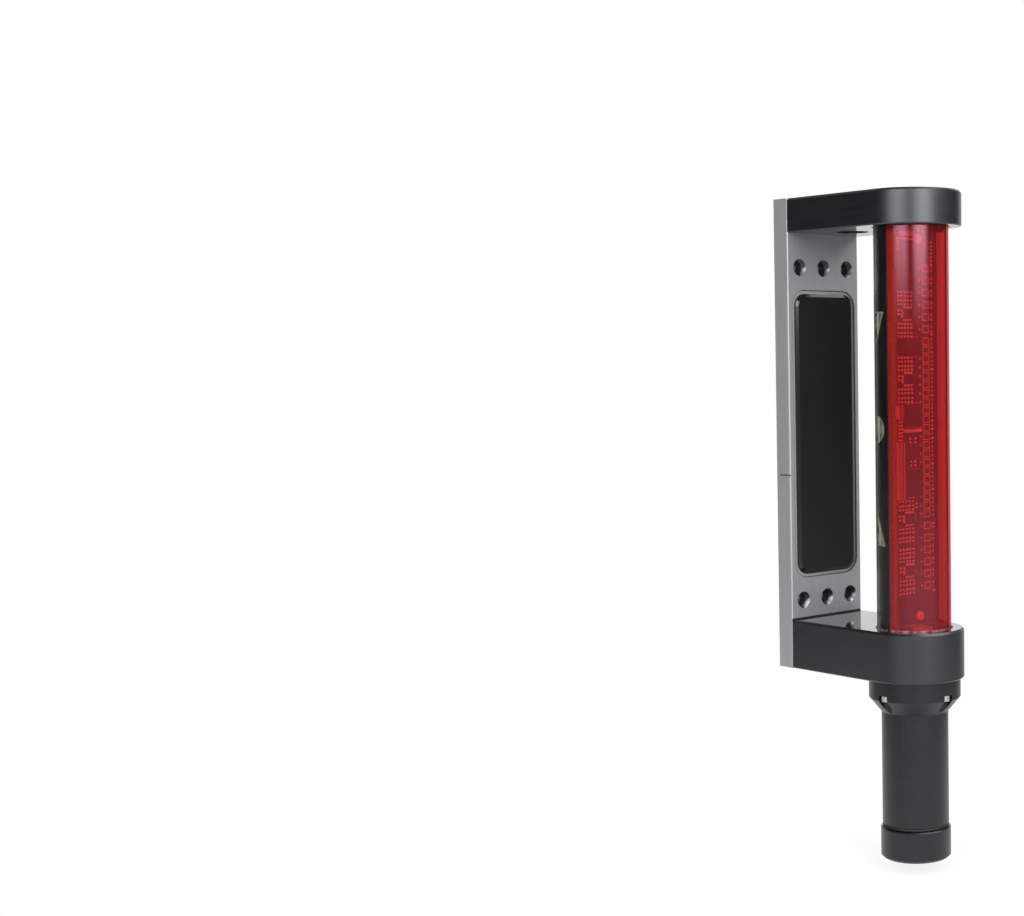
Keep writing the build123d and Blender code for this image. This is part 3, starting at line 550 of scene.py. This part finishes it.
def pane_tone(tree, depth, turn):
    """Tone of a pane: a cloudy middle, a painted highlight as a pale upright band, and an olive
    rim.
    """
    cloud = tree.step(tree.noise(210.0), 0.36, 0.64)
    # Painted highlight: a pale upright band across each pane.
    band = 1 - tree.step(abs(turn - PANE_HIGHLIGHT), *PANE_HIGHLIGHT_FADE)
    tone = tree.mix(cloud, colours("pane_shade"), colours("pane"))
    tone = tree.mix(band * 0.8, tone, colours("painted_pane_highlight"))
    return tree.mix(tree.step(depth, -1.3 * MM, -0.5 * MM), tone, colours("pane_rim"))


def pane_finish(name, nodes, pointing):
    """Translucent display pane."""
    tree = new_finish(name)
    x, y, z = tree.place()
    turn = turn_from_front(tree, x, y)
    tone = pane_tone(tree, symbol_depth(tree, nodes, pointing, turn, z), turn)
    return tree.close_surface(Base_Color=tone, Roughness=0.35, Specular_IOR_Level=0.4)


def rubber_finish(name, tone_name):
    """Matt rubber or moulded plastic with a fine grain."""
    tree = new_finish(name)
    grain = tree.noise(5200.0, detail=3.0)
    cloud = tree.noise(220.0)
    base = colours(tone_name)
    worn = tuple(min(1.0, v * 1.6 + 0.006) for v in base[:3]) + (1.0,)
    return tree.close_surface(
        Base_Color=tree.mix(cloud * 0.5, base, worn), Roughness=0.52 + grain * 0.2,
        Specular_IOR_Level=0.4, Normal=tree.bump(grain, 0.02 * MM))


def block_finish():
    """Pale moulding painted dark as shade, except for two paler patches on the side that carries
    the sensor board.
    """
    tree = new_finish("board_block_moulding")
    x = tree.place()[0]
    # Painted shade: outside these two patches the moulding takes a dark tone instead of its pale
    # colour.
    pale_patch = (abs(x + 8.5 * MM) < 4.4 * MM) | ((abs(x - 4.0 * MM) < 1.8 * MM) * 0.6)
    cloud = tree.noise(240.0)
    tone = tree.mix(pale_patch, (0.10, 0.095, 0.085, 1.0), colours("pale_moulding"))
    tone = tree.mix(cloud * 0.3, tone, (0.2, 0.19, 0.17, 1.0))
    return tree.close_surface(Base_Color=tone, Roughness=0.5 + cloud * 0.15)


def board_finish():
    """Solder mask over tracks: short ones in rows at the right, broken upright ones at the left."""
    tree = new_finish("olive_board")
    x, _, z = tree.place()
    cloud = tree.noise(350.0)
    row_pitch, column_pitch = 2.9 * MM, 2.1 * MM
    row = tree.maths("FRACT", z / row_pitch)
    row_track = (abs(row - 0.5) < 0.09) * (abs(x - 9.5 * MM) < 2.8 * MM)
    column = tree.maths("FRACT", x / column_pitch)
    run = tree.noise(1.0, (480.0, 480.0, 34.0), 0.0) > 0.56
    column_track = (abs(column - 0.5) < 0.11) * run
    column_track = column_track * (abs(x) < 14.2 * MM) * (x < 1.5 * MM)
    track = row_track | column_track
    tone = tree.mix(cloud * 0.4, colours("board"), (0.042, 0.038, 0.018, 1.0))
    tone = tree.mix(track * 0.8, tone, colours("copper"))
    return tree.close_surface(
        Base_Color=tone, Roughness=0.32 + cloud * 0.12, Normal=tree.bump(track, 0.03 * MM))


def diode_finish():
    """A pale frame round a dark sunk cell with fine contact fingers."""
    tree = new_finish("photodiode_cell")
    x, y, _ = tree.place()
    frame_face = y < DIODE_FRONT + 0.15 * MM
    finger_pitch = 0.9 * MM
    finger = tree.maths("FRACT", x / finger_pitch) < 0.12
    cloud = tree.noise(900.0)
    cell = tree.mix(finger * 0.35 + cloud * 0.15, colours("diode"), (0.18, 0.17, 0.17, 1.0))
    tone = tree.mix(frame_face, cell, colours("diode_frame"))
    return tree.close_surface(Base_Color=tone, Roughness=0.22 + frame_face * 0.25)


def cell_finish():
    """A plain wrapped cell: dark sleeve, one pale band and bare steel ends."""
    low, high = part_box("battery_cells")
    tree = new_finish("cell_sleeve")
    z = tree.place()[2]
    end_height, band_height = 1.9 * MM, 13.0 * MM
    end = (z > high.z - end_height) | (z < low.z + end_height)
    band = (z > high.z - band_height) * (1 - end)
    cloud = tree.noise(300.0)
    tone = tree.mix(cloud * 0.3, colours("sleeve"), (0.09, 0.1, 0.11, 1.0))
    tone = tree.mix(band, tone, colours("cell_band"))
    tone = tree.mix(end, tone, grey(0.6))
    return tree.close_surface(
        Base_Color=tone, Metallic=(band * 0.6) | end, Roughness=0.3 + cloud * 0.1)


def strip_finish(name, node):
    """A strip on the board: a pale face with a row of slots, and a dark right edge painted as its
    shaded side.
    """
    low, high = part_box(node)
    tree = new_finish(name)
    x, _, z = tree.place()
    share = (x - low.x) / (high.x - low.x)
    slot_pitch = 1.6 * MM
    channel = abs(share - 0.36) < 0.17
    slot = channel * (abs(tree.maths("FRACT", z / slot_pitch) - 0.5) < 0.28)
    # Painted shade: the right three tenths of the strip are dark, for its shaded side.
    pale = (share < 0.7) * (1 - channel * 0.3 - slot * 0.6)
    tone = tree.mix(pale, (0.10, 0.09, 0.075, 1.0), colours("plug"))
    return tree.close_surface(Base_Color=tone, Roughness=0.5, Normal=tree.bump(pale, 0.05 * MM))


def led_finish():
    """A pale clear body with a darker die behind it."""
    tree = new_finish("display_led")
    cloud = tree.noise(1400.0)
    tone = tree.mix(cloud * 0.6, colours("led"), (0.4, 0.42, 0.3, 1.0))
    return tree.close_surface(Base_Color=tone, Roughness=0.2 + cloud * 0.15)


def lead_finish():
    """Lead sleeves: one red side and one black side, with a drawn sheen."""
    tree = new_finish("lead_sleeve")
    x = tree.place()[0]
    cloud = tree.noise(1.0, (500.0, 500.0, 60.0), 2.0)
    tone = tree.mix(x < 0.0, colours("lead"), grey(0.02))
    tone = tree.mix(cloud * 0.25, tone, (0.12, 0.1, 0.1, 1.0))
    return tree.close_surface(Base_Color=tone, Roughness=0.36 + cloud * 0.1)


# Modelling


def start_piece():
    """Leaves edit mode and selects nothing."""
    if bpy.context.object and bpy.context.object.mode != "OBJECT":
        bpy.ops.object.mode_set(mode="OBJECT")
    bpy.ops.object.select_all(action="DESELECT")


def pick_faces(test):
    """Enters edit mode with only the faces that pass a test on centre and normal selected."""
    mesh = bpy.context.object.data
    bpy.ops.object.mode_set(mode="EDIT")
    bpy.ops.mesh.select_mode(type="FACE")
    bpy.ops.mesh.select_all(action="DESELECT")
    edit = bmesh.from_edit_mesh(mesh)
    for face in edit.faces:
        face.select_set(test(face.calc_center_median(), face.normal))
    edit.select_flush_mode()
    bmesh.update_edit_mesh(mesh)


def front_face(centre, normal):
    """The face that looks away from the board."""
    return normal.y < -0.9


def brick(size, place):
    """A block with its middle at a place, as the start of a small piece."""
    start_piece()
    bpy.ops.mesh.primitive_cube_add(size=1.0, location=(0, 0, 0))
    bpy.ops.transform.resize(value=size)
    bpy.ops.transform.translate(value=place)
    bpy.ops.object.transform_apply(location=True, rotation=False, scale=True)
    return bpy.context.object


def finish_shape():
    """Leaves edit mode with doubles merged and normals outward."""
    bpy.ops.object.mode_set(mode="EDIT")
    bpy.ops.mesh.select_all(action="SELECT")
    bpy.ops.mesh.remove_doubles(threshold=WELD)
    bpy.ops.mesh.normals_make_consistent(inside=False)
    bpy.ops.object.mode_set(mode="OBJECT")
    return bpy.context.object


def solder_mound(width, rise, height):
    """A solder end: a low block whose front is drawn in to a rounded top, its foot at Y = 0."""
    brick((width, rise, height), (0, -rise / 2, 0))
    pick_faces(front_face)
    for inset, lift in ((0.16, 0.3), (0.18, 0.12)):
        bpy.ops.mesh.inset(thickness=min(width, height) * inset, depth=0)
        bpy.ops.transform.translate(value=(0, -rise * lift, 0))
    return finish_shape()


def plated_hole(outside):
    """A via: a thin ring with a sunk middle."""
    start_piece()
    rise = 0.12 * MM
    bpy.ops.mesh.primitive_cylinder_add(
        vertices=12, radius=outside / 2, depth=rise, location=(0, -rise / 2, 0),
        rotation=(math.pi / 2, 0, 0))
    bpy.ops.object.transform_apply(location=True, rotation=True, scale=True)
    pick_faces(front_face)
    bpy.ops.mesh.inset(thickness=outside * 0.26, depth=0)
    bpy.ops.transform.translate(value=(0, rise * 0.7, 0))
    return finish_shape()


def gull_leg(width, reach, drop):
    """A chip leg along +X: out of the chip at Y = -drop, down to the board and out along it."""
    thick = 0.16 * MM
    shoulder, fall, toe = reach * 0.35, reach * 0.2, reach * 0.45
    leg = brick((shoulder, thick, width), (shoulder / 2, -drop - thick / 2, 0))
    for move in ((fall, drop, 0), (toe, 0, 0)):
        far = max(v.co.x for v in leg.data.vertices)
        pick_faces(lambda centre, normal: centre.x > far - TOUCH)
        bpy.ops.mesh.extrude_region_move(TRANSFORM_OT_translate={"value": move})
        bpy.ops.object.mode_set(mode="OBJECT")
    return finish_shape()


def small_body(width, rise, height):
    """The body of a small part: a block with its front edges bevelled."""
    brick((width, rise, height), (0, -rise / 2, 0))
    pick_faces(front_face)
    bpy.ops.mesh.bevel(offset=min(rise, width, height) * 0.25, segments=1, affect="EDGES")
    return finish_shape()


def set_out(model, name, places, finish):
    """Copies a model to every place on the board and joins the copies to one piece."""
    copies = []
    for place in places:
        copy = model.copy()
        copy.data = model.data.copy()
        copy.data.transform(place)
        bpy.context.scene.collection.objects.link(copy)
        copies.append(copy)
    bpy.data.objects.remove(model)
    start_piece()
    for copy in copies:
        copy.select_set(True)
    bpy.context.view_layer.objects.active = copies[0]
    bpy.ops.object.join()
    dress_piece(bpy.context.object, name, finish, "receiver")


def dress_piece(piece, name, finish, body):
    """Names a finished piece, gives it its material and ties it to a body."""
    piece.name = name
    piece.data.name = name
    piece.data.materials.clear()
    piece.data.materials.append(bpy.data.materials[finish])
    bpy.ops.object.shade_smooth_by_angle(angle=SMOOTH_ANGLE)
    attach(piece, body)


def on_board(x, z, sink=SOLDER_SINK):
    """A place on the sensor board's front, given in metres."""
    return Matrix.Translation((x, BOARD_FRONT + sink, z))


def solid_boxes(node):
    """The lowest and highest corner of each separate solid of a node, from the top down."""
    shape = bmesh.new()
    shape.from_mesh(NODES[node].data)
    bmesh.ops.remove_doubles(shape, verts=shape.verts, dist=0.002 * MM)
    left = set(shape.verts)
    boxes = []
    while left:
        group, edge = set(), {left.pop()}
        while edge:
            group |= edge
            edge = {e.other_vert(v) for v in edge for e in v.link_edges} - group
        left -= group
        low = Vector([min(v.co[i] for v in group) for i in range(3)])
        high = Vector([max(v.co[i] for v in group) for i in range(3)])
        boxes.append((low, high))
    shape.free()
    return sorted(boxes, key=lambda pair: -pair[0].z)


def paint(finish, *names):
    """Gives CAD nodes their material."""
    for name in names:
        NODES[name].data.materials.clear()
        NODES[name].data.materials.append(finish)


# Operators


class PaintMetalwork(bpy.types.Operator):
    """Finish the plate, inlay, arms, battery tube, cap, screws and contacts"""

    bl_idname = "receiver.paint_metalwork"
    bl_label = "Metalwork"

    def execute(self, context):
        paint(silver_finish(), "back_plate")
        paint(black_finish("black_anodised_block", False), "upper_arm", "lower_arm")
        turned = black_finish("black_anodised_turned", True)
        paint(turned, "battery_tube", "battery_cap", "button_bezel")
        paint(inlay_finish(), "name_inlay")
        steel = steel_finish("bright_screw_steel", "steel", 0.24)
        paint(steel, "arm_screws", "collar_screws", "contact_block_screws")
        paint(steel_finish("pan_head_steel", "solder", 0.3, 0.3), "board_screws", "board_crystal")
        nickel = steel_finish("nickel_contact", "nickel", 0.22)
        paint(nickel, "cell_contacts", "cell_bridges", "cap_spring")
        return {"FINISHED"}


class PaintWindow(bpy.types.Operator):
    """Finish the clear tube, its films and the display panes"""

    bl_idname = "receiver.paint_window"
    bl_label = "Window and display"

    def execute(self, context):
        paint(clear_tube_finish(), "window_tube")
        paint(red_film_finish(), "red_filter")
        paint(black_film_finish(), "display_mask")
        for nodes, pointing in SYMBOLS:
            paint(pane_finish("olive_" + nodes, nodes, pointing), nodes)
        return {"FINISHED"}


class PaintInside(bpy.types.Operator):
    """Finish the boards, chips, mouldings, seals, leads and cells"""

    bl_idname = "receiver.paint_inside"
    bl_label = "Inside pieces"

    def execute(self, context):
        paint(board_finish(), "sensor_board")
        white = rubber_finish("white_display_board", "display_board")
        paint(white, "display_board_left", "display_board_right")
        paint(diode_finish(), "photodiodes")
        paint(rubber_finish("chip_moulding", "chip"), "board_chips", "amplifier_chips")
        paint(strip_finish("plug_strip", "board_connector"), "board_connector")
        paint(strip_finish("regulator_moulding", "board_regulator"), "board_regulator")
        # Painted light: the pale header moulding takes the near-white solder colour, so that it
        # stays bright in the upper arm's shade.
        paint(rubber_finish("header_moulding_painted_light", "solder"), "board_header")
        paint(rubber_finish("plug_moulding", "plug"), "lead_sockets")
        paint(led_finish(), "display_leds_left", "display_leds_right")
        moulding = rubber_finish("black_moulding", "moulding")
        paint(moulding, "contact_block", "cell_carrier", "button_switch")
        paint(block_finish(), "upper_board_block", "lower_board_block")
        paint(rubber_finish("button_rubber", "rubber"), "power_button")
        seals = rubber_finish("seal_rubber", "rubber")
        paint(seals, "upper_tube_seal", "lower_tube_seal", "collar_seal", "button_seal",
              "cap_o_ring")
        paint(lead_finish(), "supply_lead", "switch_lead")
        paint(cell_finish(), "battery_cells")
        steel_finish("solder_metal", "solder", 0.34, 0.12)
        steel_finish("tinned_pad", "nickel", 0.34, 0.12)
        return {"FINISHED"}


class AddSmallParts(bpy.types.Operator):
    """Set out the small parts round each amplifier chip, between the large chips and at the left"""

    bl_idname = "receiver.add_small_parts"
    bl_label = "Small parts"

    def execute(self, context):
        size = sizes()
        columns = (-7.0, -4.7, -2.3, 0.1, 2.7)
        rows = (10.3, 5.9, -6.4, -11.0)
        field = [(x, z) for x in columns for z in rows] + [(x, 0.6) for x in columns[:2]]
        spots = []
        for low, high in solid_boxes("amplifier_chips"):
            middle = (low + high) / 2
            spots += [(middle.x + x * MM, middle.z + z * MM) for x, z in field]
        between = [(-6.3, -1.9), (-2.3, -1.9), (-5.8, -14.2), (-2.6, -14.2), (-1.9, -36.6)]
        left_edge = [(x, z) for x in (-14.2, -12.4) for z in (7.0, 3.2, -0.6)]
        spots += [(x * MM, z * MM) for x, z in between + left_edge]
        half = size.part_pitch / 2
        ends = [on_board(x, z + side) for x, z in spots for side in (half, -half)]
        mound = solder_mound(size.pad_width, size.pad_rise, size.pad_height)
        set_out(mound, "small_part_solder", ends, "solder_metal")
        body = small_body(size.pad_width * 0.8, size.pad_rise * 0.9,
                          size.part_pitch - size.pad_height * 0.8)
        middles = [on_board(x, z) for x, z in spots]
        set_out(body, "small_part_bodies", middles, "chip_moulding")
        return {"FINISHED"}


class AddDiodePads(bpy.types.Operator):
    """Add the pads on both sides of each photodiode"""

    bl_idname = "receiver.add_diode_pads"
    bl_label = "Photodiode pads"

    def execute(self, context):
        size = sizes()
        reach = size.diode_pad_width / 2 - 0.2 * MM
        places = []
        for low, high in solid_boxes("photodiodes"):
            z = (low.z + high.z) / 2
            places += [on_board(low.x - reach, z), on_board(high.x + reach, z)]
        pad = solder_mound(size.diode_pad_width, size.pad_rise * 0.6, size.diode_pad_height)
        set_out(pad, "photodiode_pads", places, "tinned_pad")
        return {"FINISHED"}


class AddTestPoints(bpy.types.Operator):
    """Add the vias and test pads at the board's right edge and the joints at its top"""

    bl_idname = "receiver.add_test_points"
    bl_label = "Vias, test pads and joints"

    def execute(self, context):
        size = sizes()
        column = 11.25 * MM
        pads = [z * MM for z in (54.1, 35.6, 21.7, 8.1, 3.6, -1.2, -14.9, -28.6, -47.0, -83.4)]
        pad = solder_mound(size.test_pad_width, size.pad_rise * 0.7, size.test_pad_height)
        places = [on_board(column, z) for z in pads]
        set_out(pad, "test_pads", places, "solder_metal")
        apart = 1.2 * MM
        middles = [(low.z + high.z) / 2 for low, high in solid_boxes("photodiodes")]
        vias = [middle + shift for middle in middles for shift in (apart, -apart)]
        vias = [z for z in vias if min(abs(z - pad_z) for pad_z in pads) > apart]
        places = [on_board(column, z) for z in vias]
        set_out(plated_hole(size.via_d), "board_vias", places, "solder_metal")
        header = [(-14.4 + 1.75 * i, 104.1) for i in range(8)]
        header += [(-14.4, 102.2 - 1.8 * i) for i in range(3)]
        joint = solder_mound(size.pad_width, size.pad_rise, size.pad_height)
        places = [on_board(x * MM, z * MM) for x, z in header]
        set_out(joint, "header_joints", places, "solder_metal")
        joint = solder_mound(size.pad_height, size.pad_rise, size.pad_width)
        places = [on_board(11.1 * MM, (102.9 - 1.95 * i) * MM) for i in range(7)]
        set_out(joint, "edge_joints", places, "solder_metal")
        return {"FINISHED"}


class AddChipLegs(bpy.types.Operator):
    """Add the legs of the chips and the tails of the plug strip"""

    bl_idname = "receiver.add_chip_legs"
    bl_label = "Chip legs"

    def legs_along(self, low, high, side, span, pitch):
        """Places of legs along one side of a chip: side is +1 or -1, span is 0 for X or 2 for Z."""
        count = max(2, int((high[span] - low[span]) / pitch))
        first = (low[span] + high[span] - (count - 1) * pitch) / 2
        across = 2 - span
        quarter = math.pi / 2
        turn = {(2, 1): 0.0, (2, -1): math.pi, (0, 1): -quarter, (0, -1): quarter}[(span, side)]
        point = (low + high) / 2
        point[across] = high[across] if side > 0 else low[across]
        places = []
        for i in range(count):
            point[span] = first + i * pitch
            places.append(on_board(point.x, point.z, 0.0) @ Matrix.Rotation(turn, 4, "Y"))
        return places

    def legs_round(self, boxes, spans, pitch):
        """Places of legs on both sides of every box, along each span."""
        places = []
        for low, high in boxes:
            for side in (1, -1):
                for span in spans:
                    places += self.legs_along(low, high, side, span, pitch)
        return places

    def execute(self, context):
        size = sizes()
        width, reach = size.leg_width, size.leg_reach
        chip_drop, tail_drop = 0.4 * MM, 0.3 * MM
        places = self.legs_round(solid_boxes("amplifier_chips"), (0, 2), size.leg_pitch)
        places += self.legs_round([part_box("board_regulator")], (2,), size.leg_pitch)
        leg = gull_leg(width, reach, chip_drop)
        set_out(leg, "chip_legs", places, "solder_metal")
        places = self.legs_round(solid_boxes("board_chips"), (0,), size.leg_pitch)
        leg = gull_leg(width * 0.5, reach * 0.7, chip_drop)
        set_out(leg, "large_chip_legs", places, "tinned_pad")
        places = self.legs_round([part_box("board_connector")], (2,), size.tail_pitch)
        tail = gull_leg(width, reach * 0.6, tail_drop)
        set_out(tail, "plug_tails", places, "solder_metal")
        return {"FINISHED"}


class AddCapThread(bpy.types.Operator):
    """Wind the helical thread round the cap's spigot"""

    bl_idname = "receiver.add_cap_thread"
    bl_label = "Cap thread"

    def execute(self, context):
        size = sizes()
        pitch = size.thread_pitch
        lead_in, root = 0.4 * MM, 0.2 * MM
        depth = size.thread_depth + root
        crest = SPIGOT_R + size.thread_depth
        middle = (0, TUBE_Y, CAP_TOP - lead_in - size.thread_turns * pitch - pitch * 0.3)
        start_piece()
        bpy.ops.mesh.primitive_plane_add(size=1.0, location=middle)
        ridge = bpy.context.object
        bpy.ops.object.mode_set(mode="EDIT")
        bpy.ops.mesh.select_mode(type="VERT")
        bpy.ops.mesh.select_all(action="SELECT")
        bpy.ops.transform.rotate(value=math.pi / 2, orient_axis="X", center_override=middle)
        bpy.ops.transform.resize(value=(depth, 1.0, pitch * 0.55), center_override=middle)
        bpy.ops.transform.translate(value=(SPIGOT_R - root + depth / 2, 0, 0))
        bpy.ops.mesh.select_all(action="DESELECT")
        edit = bmesh.from_edit_mesh(ridge.data)
        for corner in edit.verts:
            corner.select_set(corner.co.x > crest - TOUCH)
        bmesh.update_edit_mesh(ridge.data)
        bpy.ops.transform.resize(value=(1.0, 1.0, 0.25), center_override=middle)
        bpy.ops.mesh.select_all(action="SELECT")
        bpy.ops.mesh.delete(type="ONLY_FACE")
        bpy.ops.object.mode_set(mode="OBJECT")
        screw = ridge.modifiers.new("thread", "SCREW")
        screw.axis = "Z"
        screw.screw_offset = pitch
        screw.iterations = size.thread_turns
        screw.steps = screw.render_steps = 64
        screw.use_merge_vertices = False
        bpy.ops.object.modifier_apply(modifier=screw.name)
        bpy.ops.object.transform_apply(location=True, rotation=True, scale=True)
        bpy.ops.object.mode_set(mode="EDIT")
        bpy.ops.mesh.select_all(action="SELECT")
        bpy.ops.mesh.fill_holes(sides=8)
        finish_shape()
        dress_piece(ridge, "cap_thread", "black_anodised_turned", "cap")
        return {"FINISHED"}


class SetStage(bpy.types.Operator):
    """Set the floor, world, softboxes and camera"""

    bl_idname = "receiver.set_stage"
    bl_label = "Stage"

    def floor(self, stage, height):
        """A pale floor that is white to the camera, keeps the shadow and is clear from below."""
        start_piece()
        bpy.ops.mesh.primitive_plane_add(size=2 * stage.floor_half, location=(0, TUBE_Y, height))
        board = bpy.context.object
        board.name = "studio_floor"
        tree = new_finish("studio_floor")
        path = tree.node("ShaderNodeLightPath")
        seen = path.out("Is Camera Ray") | path.out("Is Glossy Ray")
        seen = seen | path.out("Is Transmission Ray")
        paper = tree.node("ShaderNodeBsdfDiffuse", inputs={"Color": grey(0.85)})
        glow = tree.node("ShaderNodeEmission", inputs={"Color": grey(1.0), "Strength": 1.32})
        lit = tree.blend(seen * 0.6, paper, glow)
        underside = tree.node("ShaderNodeNewGeometry").out("Backfacing")
        sheet = tree.blend(underside, lit, tree.clear(grey(1.0)))
        board.data.materials.append(tree.close(sheet))

    def world(self, stage):
        """White to the camera and glass; gloss sees a backdrop, a lit front and a lamp overhead."""
        room = bpy.data.worlds.new("studio_world")
        bpy.context.scene.world = room
        tree = Finish(room)
        path = tree.node("ShaderNodeLightPath")
        look = tree.node("ShaderNodeTexCoord").out("Generated")

        def towards(azimuth, elevation=0.0):
            """How closely a ray heads for a direction seen from the tube."""
            turn, lift = math.radians(azimuth), math.radians(elevation)
            level_share = math.cos(lift)
            aim = (-math.sin(turn) * level_share, -math.cos(turn) * level_share, math.sin(lift))
            dot = tree.node("ShaderNodeVectorMath", {"operation": "DOT_PRODUCT"}, {0: look, 1: aim})
            return dot.out("Value")

        rise = tree.split(look)[2]
        above = tree.step(rise, -0.14, -0.03)
        backdrop = tree.step(towards(221.0), 0.643, 0.743)
        front = tree.step(towards(30.0), 0.25, 0.85)
        overhead = tree.step(towards(-25.0, 48.0), 0.80, 0.90)
        fill = tree.step(towards(-52.0), 0.65, 0.95)
        zenith = tree.step(rise, 0.75, 0.95)
        side = stage.dark_side + stage.front_level * front + stage.backdrop * backdrop
        side = side + stage.overhead * overhead + stage.fill * fill + stage.zenith * zenith
        below = 0.34 + 0.50 * front + 0.45 * backdrop
        bent = path.out("Is Transmission Ray")
        mirrored = path.out("Is Glossy Ray") | (bent * (path.out("Glossy Depth") > 0.5))
        gloss = mirrored * (side * above + below * (1 - above))
        direct = bent * (path.out("Diffuse Depth") < 0.5) * (1 - mirrored)
        plain = path.out("Is Camera Ray") | direct
        spread = 1 - (plain | mirrored)
        strength = (plain | gloss) + spread * stage.ambient
        lit = {"Color": grey(1.0), "Strength": strength}
        tree.close(tree.node("ShaderNodeBackground", inputs=lit), "ShaderNodeOutputWorld")

    def softbox(self, stage, name, turn, radiance):
        """An upright soft light that fades out towards its sides and its lower edge."""
        lamp = bpy.data.lights.new(name, "AREA")
        lamp.shape = "RECTANGLE"
        lamp.size, lamp.size_y = stage.box_width, stage.box_height
        lamp.energy = radiance * math.pi * stage.box_width * stage.box_height
        tree = Finish(lamp)
        across = tree.node("ShaderNodeNewGeometry").out("Parametric")
        sideways, rise, _ = tree.split(across)
        bell = tree.step(sideways, 0.0, 0.4) * tree.step(1 - sideways, 0.0, 0.4)
        fade = tree.step(rise, 0.0, 0.22) * bell
        glow = tree.node("ShaderNodeEmission", inputs={"Strength": fade})
        tree.close(glow, "ShaderNodeOutputLight")
        box = bpy.data.objects.new(name, lamp)
        middle = stage.box_foot + stage.box_height / 2
        box.location = (-math.sin(turn) * stage.box_distance,
                        TUBE_Y - math.cos(turn) * stage.box_distance, middle)
        box.rotation_euler = (math.pi / 2, 0, -turn)
        box.visible_camera = False
        bpy.context.scene.collection.objects.link(box)

    def camera(self, stage):
        """The camera that matches the photograph's view."""
        lens = bpy.data.cameras.new("view_camera")
        lens.sensor_fit = "HORIZONTAL"
        lens.sensor_width = 36.0
        lens.lens = stage.camera_lens
        lens.shift_x, lens.shift_y = stage.camera_shift
        view = bpy.data.objects.new("view_camera", lens)
        view.location = stage.camera_place
        view.rotation_euler = stage.camera_turn
        bpy.context.scene.collection.objects.link(view)
        bpy.context.scene.camera = view

    def execute(self, context):
        stage = context.scene.receiver_stage
        context.scene.view_settings.view_transform = "Standard"
        self.floor(stage, cad_box[0][2] - stage.floor_drop)
        self.world(stage)
        self.softbox(stage, "left_softbox", stage.left_azimuth, stage.left_light)
        self.softbox(stage, "right_softbox", stage.right_azimuth, stage.right_light)
        self.camera(stage)
        return {"FINISHED"}


class ReceiverPanel(bpy.types.Panel):
    """Lists the receiver's settings and steps"""

    bl_idname = "VIEW3D_PT_receiver"
    bl_label = "Laser receiver"
    bl_space_type = "VIEW_3D"
    bl_region_type = "UI"
    bl_category = "Receiver"

    def draw(self, context):
        for step in STEPS:
            self.layout.operator(step.bl_idname)
        scene = context.scene
        for group in (scene.receiver_sizes, scene.receiver_colours, scene.receiver_stage):
            box = self.layout.box()
            for name in group.bl_rna.properties.keys():
                if name not in ("rna_type", "name"):
                    box.prop(group, name)


STEPS = (
    PaintMetalwork, PaintWindow, PaintInside, AddSmallParts, AddDiodePads, AddTestPoints,
    AddChipLegs, AddCapThread, SetStage,
)
CLASSES = (ReceiverSizes, ReceiverColours, ReceiverStage, *STEPS, ReceiverPanel)


def register():
    for item in CLASSES:
        bpy.utils.register_class(item)
    bpy.types.Scene.receiver_sizes = PointerProperty(type=ReceiverSizes)
    bpy.types.Scene.receiver_colours = PointerProperty(type=ReceiverColours)
    bpy.types.Scene.receiver_stage = PointerProperty(type=ReceiverStage)


def unregister():
    del bpy.types.Scene.receiver_stage
    del bpy.types.Scene.receiver_colours
    del bpy.types.Scene.receiver_sizes
    for item in reversed(CLASSES):
        bpy.utils.unregister_class(item)


def main():
    register()
    bpy.ops.receiver.paint_metalwork()
    bpy.ops.receiver.paint_window()
    bpy.ops.receiver.paint_inside()
    bpy.ops.receiver.add_small_parts()
    bpy.ops.receiver.add_diode_pads()
    bpy.ops.receiver.add_test_points()
    bpy.ops.receiver.add_chip_legs()
    bpy.ops.receiver.add_cap_thread()
    bpy.ops.receiver.set_stage()


if __name__ == "__main__":
    main()
